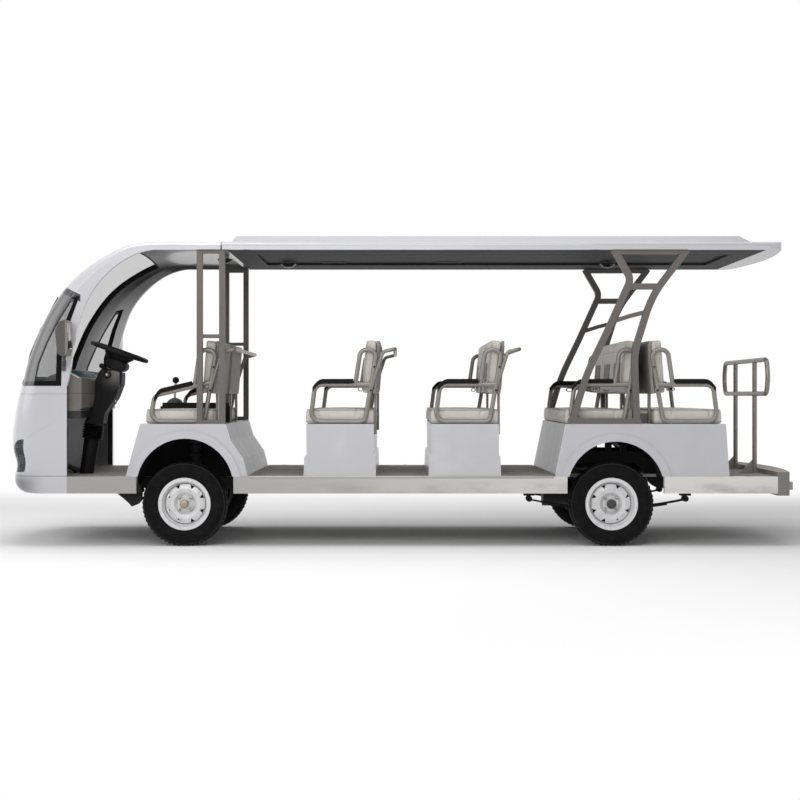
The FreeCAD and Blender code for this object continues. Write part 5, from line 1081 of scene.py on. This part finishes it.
ceiling_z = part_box("ceiling_panel")[0][2]
gloss_black = Finish("gloss_black", (0.008, 0.008, 0.008), 0.25, shine=0.2, coat_weight=0.1)
gloss_black.link(roughness=0.2 + 0.14 * gloss_black.cloud(0.02))
domes = []
for index, (x, y, z) in enumerate(((-0.771, 0.25, ceiling_z), (1.500, 0.25, ceiling_z),
                                   (-1.21, 0.16, ceiling_z + 0.022))):
    dome = new_piece("uv_sphere", f"dome_{index}", segments=40, ring_count=20, radius=0.05)
    drop_faces(dome, lambda face: face.center.z > 0.002)
    dome.data.transform(Matrix.Diagonal((1, 1, 0.58, 1)))
    collar = new_piece("torus", f"collar_{index}", major_radius=0.051, minor_radius=0.004,
                       major_segments=40, minor_segments=10)
    domes.append(settle(join(f"dome_{index}", [dome, collar]), (x, y, z - 0.002)))
mount(join("ceiling_lamps", domes), gloss_black)

# Two air grilles lie in the recess, each a frame with slats.
grilles = []
for x in (-0.452, 0.373):
    low = (x - 0.088, 0.215, ceiling_z + 0.0125)
    grille = block("grille", low, (x + 0.088, 0.345, ceiling_z + 0.0165))
    inset_faces(grille, lambda face: face.normal.z < -0.9, (0.010, -0.003))
    slat = block("slat", (low[0] + 0.012, low[1] + 0.011, low[2] - 0.001),
                 (low[0] + 0.0145, low[1] + 0.119, low[2] + 0.003))
    modify(slat, "ARRAY", count=15, use_relative_offset=False, use_constant_offset=True,
           constant_offset_displace=(0.0107, 0, 0))
    grilles += [soften(grille, 0.0015), slat]
mount(join("ceiling_grilles", grilles), black_plastic)


# ---- glazing ---------------------------------------------------------------------------
# The windscreen and side glasses are smoke tinted and sit flush in black rubber seals. A
# printed black border hides the windscreen's bond line.

GLASS_TINT = (0.10, 0.105, 0.105)
screen_low, screen_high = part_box("windscreen")


def tinted(name, tint, alpha):
    glass = Finish(name, tint, 0.04, shine=0.1, alpha=alpha)
    glass.link(roughness=0.03 + 0.03 * glass.cloud(0.3))
    return glass


glass = tinted("screen_glass", GLASS_TINT, 0.24)
border = glass.aside().over(screen_high[1] - 0.012, 0.002).most(
    1 - glass.z.over(screen_low[2] + 0.045, 0.002))
glass.link(base_color=border.blend(GLASS_TINT, (0.005, 0.005, 0.005)),
           alpha=border * 0.75 + 0.24)
glass.on("windscreen")
tinted("side_glass", GLASS_TINT, 0.32).on("quarter_windows")

seal = Finish("seal_rubber", (0.005, 0.005, 0.005), 0.6, shine=0.06)
# By the corner posts the seal is painted the posts' grey instead of black, as painted light where
# it lies in shade.
front_seal_light = ((1 - glass_front(seal.x, seal.z).over(0.020, 0.002))
              * seal.aside().over(0.613, 0.004)
              * (1 - glass_head(seal.x, seal.z).over(-0.045, 0.002))
              * seal.z.over(GLASS_FOOT_Z + 0.031, 0.002))
seal.link(base_color=front_seal_light.blend(DULL_BLACK, CORNER_SHADE_GREY),
          roughness=0.5 + 0.2 * seal.cloud(0.02))
seal.relief(seal.cloud(0.01, 2.0), 0.0003)
seal.on("window_seals")


# ---- headlamps -------------------------------------------------------------------------
# Each headlamp is a black housing with two bright bowls, closed by a clear lens that
# follows the nose. The bowls are sunk into the housing.


def face_of(node, name):
    """The node's own mesh as a new piece."""
    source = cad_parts[node]
    piece = bpy.data.objects.new(name, source.data.copy())
    piece.data.transform(source.matrix_world)
    bpy.context.collection.objects.link(piece)
    return piece


lamp_black = Finish("lamp_black", (0.010, 0.010, 0.011), 0.3, shine=0.2)
lamp_black.relief(lamp_black.cloud(0.01, 2.0), 0.0001)
chrome = Finish("lamp_chrome", (0.20, 0.20, 0.21), 0.08, metallic=1.0)
chrome.link(roughness=0.06 + 0.08 * chrome.cloud(0.01))
housing = face_of("headlamps", "lamp_housings")
bowls = []
BOWL_SPOTS = ((0.640, 0.598, 0.030), (0.655, 0.530, 0.026))
for side in (-1, 1):
    for across, height, radius in BOWL_SPOTS:
        hit, place, normal, _ = housing.ray_cast((-4, side * across, height), (1, 0, 0))
        if not hit:
            continue
        bowl = new_piece("uv_sphere", "bowl", segments=40, ring_count=24, radius=radius,
                         location=place)
        bpy.ops.object.transform_apply()
        bowl.data.transform(Matrix.Translation(place) @ Matrix.Diagonal((0.6, 1, 1, 1))
                            @ Matrix.Translation(-place))
        cutter = twin(bowl, "cutter")
        modify(housing, "BOOLEAN", operation="DIFFERENCE", object=cutter, solver="EXACT")
        bpy.data.objects.remove(cutter)
        plane = place - normal * 0.001
        drop_faces(bowl, lambda face: (face.center - plane).dot(normal) > 0)
        modify(bowl, "SOLIDIFY", thickness=0.0012, offset=1)
        bulb = new_piece("uv_sphere", "bulb", segments=24, ring_count=14, radius=radius * 0.28,
                         location=place + Vector((radius * 0.32, 0, 0)))
        bpy.ops.object.transform_apply()
        bowls += [bowl, bulb]
mount(housing, lamp_black, angle=30)
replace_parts(housing, "headlamps")
if bowls:
    mount(join("lamp_bowls", bowls), chrome, angle=60)

lens = face_of("headlamps", "lamp_lenses")


def looks_out(face):
    way = Vector((-1, 0.9 if face.center.y > 0 else -0.9, 0)).normalized()
    return face.normal.dot(way) > 0.35


pick(lens, lambda face: not looks_out(face))
bpy.ops.mesh.delete(type="FACE")
bpy.ops.mesh.select_all(action="SELECT")
bpy.ops.mesh.remove_doubles(threshold=0.00005)
close_edit()
modify(lens, "SOLIDIFY", thickness=0.0035, offset=1)
clear = tinted("lens_clear", (0.25, 0.26, 0.27), 0.16)
mount(lens, clear, angle=30)


# ---- dashboard -------------------------------------------------------------------------
# A warm grey moulding with a dark glassy instrument cover on its slope, a black tray below
# it, and a row of rocker switches beside the column.

DASH_GREY = (0.150, 0.139, 0.130)
dash_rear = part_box("dashboard")[1][0]
dash = Finish("dash_plastic", DASH_GREY, 0.5)
below = 1 - dash.z.over(0.8745, 0.003)
tray = below * dash.x.over(-2.20, 0.004)
worn = dash.cloud(0.2).over(0.5, 0.5).blend(DASH_GREY, tuple(0.8 * part for part in DASH_GREY))
seam = dash.z.near(0.987, 0.004, 0.002)
moulding = (below * (1 - tray)).blend(seam.blend(worn, (0.06, 0.055, 0.05)), (0.09, 0.09, 0.092))
dash.link(base_color=tray.blend(moulding, DULL_BLACK),
          roughness=0.45 + 0.15 * dash.cloud(0.03))
dash.relief(dash.cells(0.0015) * 0.25 - seam, 0.001)
dash.on("dashboard")

SLOPE_START, SLOPE_END = Vector((dash_rear - 0.116, 1.138)), Vector((dash_rear - 0.014, 1.0832))
slope_up = Vector((0.4734, 0.8809))
COVER_TILT = math.radians(28.2)
cover_line = [SLOPE_START.lerp(SLOPE_END, share) + slope_up * rise for share, rise in
              ((0.0, -0.001), (0.0, 0.002), (0.12, 0.008), (0.3, 0.0125), (0.5, 0.0145),
               (0.7, 0.0125), (0.88, 0.008), (1.0, 0.002), (1.0, -0.001))]
cover = slab("instrument_cover", [tuple(point) for point in cover_line], -0.696, 0.020)
for vertex in cover.data.vertices:
    if vertex.co.y < -0.69:
        share = (vertex.co.x - SLOPE_START.x) / (SLOPE_END.x - SLOPE_START.x)
        vertex.co.x -= 0.024 * share
        vertex.co.z += 0.0129 * share
soften(cover, 0.0015, 2, 50)
teal = Finish("instrument_glass", (0.006, 0.036, 0.038), 0.35, shine=0.08)
teal.link(roughness=0.3 + 0.1 * teal.cloud(0.05))
mount(cover, teal, angle=40)
dials = []
for y in (-0.43, -0.27):
    dial = new_piece("torus", "dial", major_radius=0.042, minor_radius=0.0022,
                     major_segments=48, minor_segments=10)
    middle = SLOPE_START.lerp(SLOPE_END, 0.5) + slope_up * 0.0145
    dial.data.transform(Matrix.Rotation(COVER_TILT, 4, "Y"))
    dials.append(settle(dial, (middle.x, y, middle.y - 0.0015)))
mount(join("dial_rings", dials), screw_metal)
# Pale rods along the cover's edges are painted highlights.
COVER_SIDE_Y, COVER_COLUMN_Y, EDGE_RADIUS = -0.6985, -0.418, 0.0026
highlight_rods = [rod("cover_highlight", [(SLOPE_START.x + 0.004, COVER_SIDE_Y, SLOPE_START.y - 0.010),
                                (SLOPE_END.x - 0.026, COVER_SIDE_Y, SLOPE_END.y + 0.003)],
                 EDGE_RADIUS),
             rod("cover_highlight", [(SLOPE_END.x - 0.016, COVER_SIDE_Y + 0.0085, SLOPE_END.y + 0.002),
                                (SLOPE_END.x + 0.008, COVER_COLUMN_Y, SLOPE_END.y - 0.010)],
                 EDGE_RADIUS)]
edge_highlight = Finish("edge_highlight", (0.62, 0.62, 0.62), 0.3)
edge_highlight.link(roughness=0.25 + 0.12 * edge_highlight.cloud(0.01))
mount(join("cover_highlights", highlight_rods), edge_highlight)

panel = block("switch_panel", (dash_rear - 0.002, -0.255, 0.972),
              (dash_rear + 0.004, -0.115, 1.022))
inset_faces(panel, lambda face: face.normal.x > 0.9, (0.005, -0.0025))
soften(panel, 0.0012)
switches = [panel]
for index in range(4):
    y = -0.243 + 0.030 * index
    key = block("key", (dash_rear - 0.001, y, 0.980), (dash_rear + 0.0065, y + 0.024, 1.014))
    pick(key, lambda face: face.normal.x > 0.9)
    bpy.ops.mesh.subdivide(number_cuts=1)
    close_edit()
    for vertex in key.data.vertices:
        if vertex.co.x > dash_rear + 0.006 and abs(vertex.co.z - 0.997) < 0.004:
            vertex.co.x -= 0.0025
    switches.append(soften(key, 0.0008))
mount(join("dash_switches", switches), black_plastic)


# ---- steering column and wheel ---------------------------------------------------------
# A black shroud with a rubber gaiter below it. The wheel has a grained rim, a dished hub
# skirt and a horn pad, and a switch housing stands under it on the shroud's neck.

shroud = Finish("shroud_black", (0.012, 0.0115, 0.011), 0.45, shine=0.12)
rear_edge = shroud.x.over(-1.843, 0.003) * shroud.z.over(0.99, 0.01)
# The shroud's upper part, short of its rear edge, is coloured pale brown.
pale_top = (shroud.z.over(1.07, 0.16) * shroud.x.over(-1.925, 0.13) * (1 - rear_edge)
            * (1 - shroud.z.over(1.138, 0.006)))
black = shroud.cloud(0.15).over(0.5, 0.5).blend((0.009, 0.009, 0.009), DULL_BLACK)
shroud.link(base_color=pale_top.blend(black, (0.22, 0.20, 0.175)),
            roughness=0.38 + 0.2 * shroud.cloud(0.03))
shroud.relief(shroud.cells(0.0014) * 0.4 + rear_edge, 0.0012)
shroud.on("steering_column")

WHEEL_CENTRE = Vector((-1.855, -0.350, 1.264))
WHEEL_TILT = math.radians(19.3)


def on_wheel(piece, down):
    """Sets a piece made round the Z axis on the steering wheel's axis, down below its rim."""
    piece.data.transform(Matrix.Translation(WHEEL_CENTRE)
                         @ Matrix.Rotation(WHEEL_TILT, 4, "Y")
                         @ Matrix.Translation((0, 0, -down)))
    return piece


rim_black = Finish("rim_black", (0.009, 0.009, 0.0092), 0.5, shine=0.12)
rim_black.link(roughness=0.42 + 0.18 * rim_black.cloud(0.02))
rim_black.relief(rim_black.cells(0.0018), 0.0005)
rim_black.on("steering_wheel")

skirt = new_piece("cone", "hub_skirt", vertices=48, radius1=0.060, radius2=0.112, depth=0.050)
pick(skirt, lambda face: face.normal.z < -0.9)
bpy.ops.mesh.inset(thickness=0.008)
bpy.ops.transform.translate(value=(0, 0, 0.020))
close_edit()
pick(skirt, lambda face: face.normal.z > 0.9)
bpy.ops.mesh.inset(thickness=0.030)
bpy.ops.transform.translate(value=(0, 0, -0.008))
bpy.ops.mesh.inset(thickness=0.040)
bpy.ops.transform.translate(value=(0, 0, 0.004))
close_edit()
for vertex in skirt.data.vertices:
    turn = math.atan2(vertex.co.y, vertex.co.x)
    share = 0.70 + 0.30 * abs(math.cos(1.5 * turn))
    reach = math.hypot(vertex.co.x, vertex.co.y)
    if reach > 0.07:
        vertex.co.x *= share
        vertex.co.y *= share
soften(skirt, 0.003, 2, 40)
mount(on_wheel(skirt, 0.044), rim_black, body="steering_wheel", angle=50)
horn = new_piece("uv_sphere", "horn_pad", segments=48, ring_count=24, radius=0.054)
drop_faces(horn, lambda face: face.center.z < -0.004)
horn.data.transform(Matrix.Diagonal((1, 1.15, 0.26, 1)))
modify(horn, "SOLIDIFY", thickness=0.003, offset=-1)
mount(on_wheel(horn, 0.016), gloss_black, body="steering_wheel", angle=50)

housing_line = [(-0.080, -0.060), (-0.072, -0.096), (-0.050, -0.112), (-0.005, -0.132),
                (0.024, -0.134), (0.044, -0.124), (0.056, -0.104), (0.052, -0.080),
                (0.000, -0.050), (-0.050, -0.040)]
switch_box = slab("switch_housing", [(WHEEL_CENTRE.x + dx, WHEEL_CENTRE.z + dz)
                                     for dx, dz in housing_line], -0.418, -0.282)
soften(switch_box, 0.008, 3, 25)
mount(switch_box, black_plastic, angle=50)
SHROUD_SIDE_Y = -0.4135
lever = rod("tilt_lever", [(-1.842, SHROUD_SIDE_Y, 1.045), (-1.848, SHROUD_SIDE_Y, 1.010),
                           (-1.876, SHROUD_SIDE_Y, 0.948),
                           (-1.915, SHROUD_SIDE_Y - 0.0010, 0.890),
                           (-1.940, SHROUD_SIDE_Y - 0.0015, 0.850)], 0.0022)
knob = new_piece("uv_sphere", "lever_knob", segments=24, ring_count=14, radius=0.010)
knob.data.transform(Matrix.Diagonal((1, 0.7, 1.6, 1)))
settle(knob, (-1.868, -0.4200, 0.930))
mount(join("tilt_lever", [lever, knob]), chrome, angle=50)
# The ignition lock sits in the shroud's side: a black ring round a bright barrel.
ring = new_piece("torus", "lock_ring", major_radius=0.022, minor_radius=0.006,
                 major_segments=40, minor_segments=12, rotation=(math.radians(90), 0, 0))
barrel = new_piece("cylinder", "lock_barrel", vertices=32, radius=0.008, depth=0.012,
                   rotation=(math.radians(90), 0, 0))
inset_faces(barrel, lambda face: face.normal.z > 0.9, (0.003, -0.0015))
soften(barrel, 0.001)
for piece, finish in ((ring, rim_black), (barrel, screw_metal)):
    only(piece)
    bpy.ops.object.transform_apply()
    settle(piece, (-1.925, SHROUD_SIDE_Y, 1.112))
    mount(piece, finish, angle=50)


# ---- console between the front seats ---------------------------------------------------
# Black cover with a grey domed gate, a bright lever and a black ball for the hand brake.

cover_top = BOX_TOP + 0.103
console = Finish("console_black", (0.010, 0.010, 0.010), 0.5, shine=0.15)
above = console.z.over(cover_top + 0.0305, 0.001)
ball = console.z.over(cover_top + 0.165, 0.002)
lever_part = console.z.over(cover_top + 0.0650, 0.001) * (1 - ball)
gate = above.blend((0.007, 0.007, 0.007), (0.10, 0.10, 0.102))
topped = ball.blend(gate, (0.007, 0.007, 0.007))
console.link(base_color=lever_part.blend(topped, (0.55, 0.55, 0.56)),
             metallic=lever_part * 0.7, roughness=0.5 - 0.2 * lever_part)
console.relief(console.x.wave(0.012) * (1 - above) * console.z.over(cover_top + 0.006, 0.002)
               + 0.2 * console.cells(0.002), 0.0012)
console.on("driver_console")


# ---- mirrors and wiper -----------------------------------------------------------------
# Grey mirror housings with a black joint block; the glass is silvered. The wiper's arm is
# satin black.

MIRROR_GREY = (0.085, 0.082, 0.08)
mirror_shell = Finish("mirror_shell", MIRROR_GREY, 0.42, shine=0.25)
rear_half = mirror_shell.x.over(-2.089, 0.002)
mirror_shell.link(base_color=rear_half.blend(MIRROR_GREY, (0.20, 0.183, 0.168)),
                  roughness=0.36 + 0.15 * mirror_shell.cloud(0.03))
mirror_shell.relief(mirror_shell.cells(0.0016) * 0.5, 0.0003)
mirror_shell.on("mirrors")
silver = Finish("mirror_silver", (0.34, 0.31, 0.285), 0.03, metallic=1.0)
silver.link(roughness=0.02 + 0.03 * silver.cloud(0.05))
MIRROR_Y, MIRROR_FACE_X = 0.842, -2.0755
glasses, blocks = [], []
for side in (-1, 1):
    plate = block("mirror_glass", (MIRROR_FACE_X - 0.0020, side * MIRROR_Y - 0.056, 1.268),
                  (MIRROR_FACE_X + 0.0025, side * MIRROR_Y + 0.056, 1.430))
    glasses.append(soften(plate, 0.0015))
    knob = block("mirror_joint", (MIRROR_FACE_X - 0.0005, side * MIRROR_Y - 0.048, 1.274),
                 (MIRROR_FACE_X + 0.0055, side * MIRROR_Y + 0.048, 1.318))
    blocks.append(soften(knob, 0.003))
mount(join("mirror_glasses", glasses), silver)
mount(join("mirror_joints", blocks), black_plastic)

wiper_black = Finish("wiper_black", (0.010, 0.010, 0.010), 0.42, shine=0.15)
wiper_black.relief(wiper_black.cloud(0.002, 2.0), 0.0001)
wiper_black.on("wiper")


# ---- tail ------------------------------------------------------------------------------
# A folded steel step with a tan anti-slip sheet on top, two tail lamps in its rear edge,
# and bolts through the handrail's feet.

STEP_GREY = (0.20, 0.19, 0.178)
step = Finish("step_paint", STEP_GREY, 0.45)
step_top = step.normal.axis("Z").over(0.7, 0.1)
lozenge = step.x.wave(0.020) * step.y.wave(0.020)
step.link(base_color=step_top.blend(step.cloud(0.3).over(0.5, 0.4).blend(
              STEP_GREY, (0.17, 0.162, 0.15)), lozenge.over(0.55, 0.2).blend(
              (0.34, 0.30, 0.255), (0.46, 0.42, 0.365))),
          roughness=0.42 + 0.12 * step.cloud(0.02) + 0.15 * step_top)
step.relief(step_top * lozenge.over(0.55, 0.3), 0.0015)
step.on("rear_step")

TAIL_RED = (0.30, 0.008, 0.008)
tail_low, tail_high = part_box("tail_lamps")
tail = Finish("tail_red", TAIL_RED, 0.15, coat_weight=0.5)
across = tail.aside()
rim_zone = (1 - across.near(0.650, 0.078, 0.002)).most(
    1 - tail.z.near((tail_low[2] + tail_high[2]) / 2, 0.040, 0.002))
tail.link(base_color=rim_zone.blend(TAIL_RED, (0.34, 0.34, 0.34)),
          roughness=0.12 + 0.3 * rim_zone)
tail.relief(tail.y.wave(0.006) * (1 - rim_zone), 0.0006)
tail.on("tail_lamps")

rail_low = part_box("rear_handrail")[0]
screws("rail_bolts", [(2.416 + dx, side * 0.270 + dy, rail_low[2] + 0.0105)
                      for side in (-1, 1) for dx in (-0.072, 0.010) for dy in (-0.022, 0.022)],
       0.0065, screw_metal)

# Black steel brackets hang under the front sills, ahead of the front wheels.
bracket = slab("sill_bracket_left", [(-1.806, 0.3455), (-1.646, 0.3455), (-1.646, 0.296),
                                     (-1.668, 0.272), (-1.706, 0.256), (-1.728, 0.280),
                                     (-1.764, 0.312), (-1.790, 0.332)], -0.704, -0.640)
soften(bracket, 0.003)
mount_pair(bracket, under)

# A rubber flap closes the gap between each front arch's liner and the sill's end.
flap = slab("arch_flap_left", [(-1.680, 0.400), (-1.668, 0.3462), (-1.640, 0.3462),
                               (-1.652, 0.400)], -0.735, -0.600)
soften(flap, 0.002)
mount_pair(flap, under)


# ---- studio ----------------------------------------------------------------------------
# A pale floor that looks white to the camera and in reflections and keeps the shadow. Soft
# lamps stand over the roof, before the nose and beside the camera.

FLOOR_SPAN = 60.0
ground = new_piece("plane", "studio_floor", size=FLOOR_SPAN, location=(0, 0, 0))
floor_finish = Finish("studio_white", (0.9, 0.9, 0.9), 0.9, shine=0.0)
# Mirrored and far off, the floor is plain white, as the backdrop is.
white = floor_finish.place.add("Emission", {"Color": (1, 1, 1, 1), "Strength": 1.0})
ray = floor_finish.place.add("LightPath")
mirrored = Shade(floor_finish.tree, ray.socket.node.outputs["Is Glossy Ray"])
through = Shade(floor_finish.tree, ray.socket.node.outputs["Is Transmission Ray"])
far = floor_finish.aside().over(3.4, 3.0)
wide = floor_finish.x.math("ABSOLUTE", floor_finish.x).over(4.4, 2.6)
fade = mirrored.most(through, far, wide)
lit = Shade(floor_finish.tree, floor_finish.shader.outputs[0])
mixed = fade.add("MixShader", {0: fade, 1: lit, 2: white})
output = floor_finish.tree.nodes["Material Output"]
floor_finish.tree.links.new(mixed.socket, output.inputs["Surface"])
ground.data.materials.append(floor_finish.material)

world = bpy.data.worlds.new("studio")
world.use_nodes = True
bpy.context.scene.world = world
sky = world.node_tree.nodes["Background"]
sky.inputs["Color"].default_value = (1.0, 1.0, 1.0, 1)
path = Shade(world.node_tree).add("LightPath")
kinds = [Shade(world.node_tree, path.socket.node.outputs[kind])
         for kind in ("Is Camera Ray", "Is Glossy Ray", "Is Transmission Ray")]
white_ray = kinds[0].most(*kinds[1:])
SKY_STRENGTH = 0.40
level = white_ray * (1 - SKY_STRENGTH) + SKY_STRENGTH
world.node_tree.links.new(level.socket, sky.inputs["Strength"])


def lamp(name, place, aim, size, power):
    bpy.ops.object.light_add(type="AREA", location=place)
    light = bpy.context.object
    light.name = name
    light.data.shape = "RECTANGLE"
    light.data.size, light.data.size_y = size
    light.data.energy = power
    light.rotation_euler = (Vector(aim) - Vector(place)).to_track_quat("-Z", "Y").to_euler()
    return light


lamp("top_lamp", (-0.6, -0.6, 5.4), (0, 0.1, 0), (7.5, 4.0), 235)
lamp("side_lamp", (-2.2, -6.5, 3.6), (0.2, 0, 0.8), (7.0, 2.6), 150)
lamp("nose_lamp", (-6.5, -1.8, 2.8), (-1.8, 0, 1.0), (3.5, 3.0), 60)

scene = bpy.context.scene
bpy.ops.object.camera_add(location=(0.009, -9.825, 0.976), rotation=(math.pi / 2, 0, 0))
camera = bpy.context.object
camera.data.lens = 63.7
camera.data.sensor_width = 36
camera.data.shift_x = 0.0025
camera.data.shift_y = -0.00625
scene.camera = camera
scene.view_settings.view_transform = "Standard"
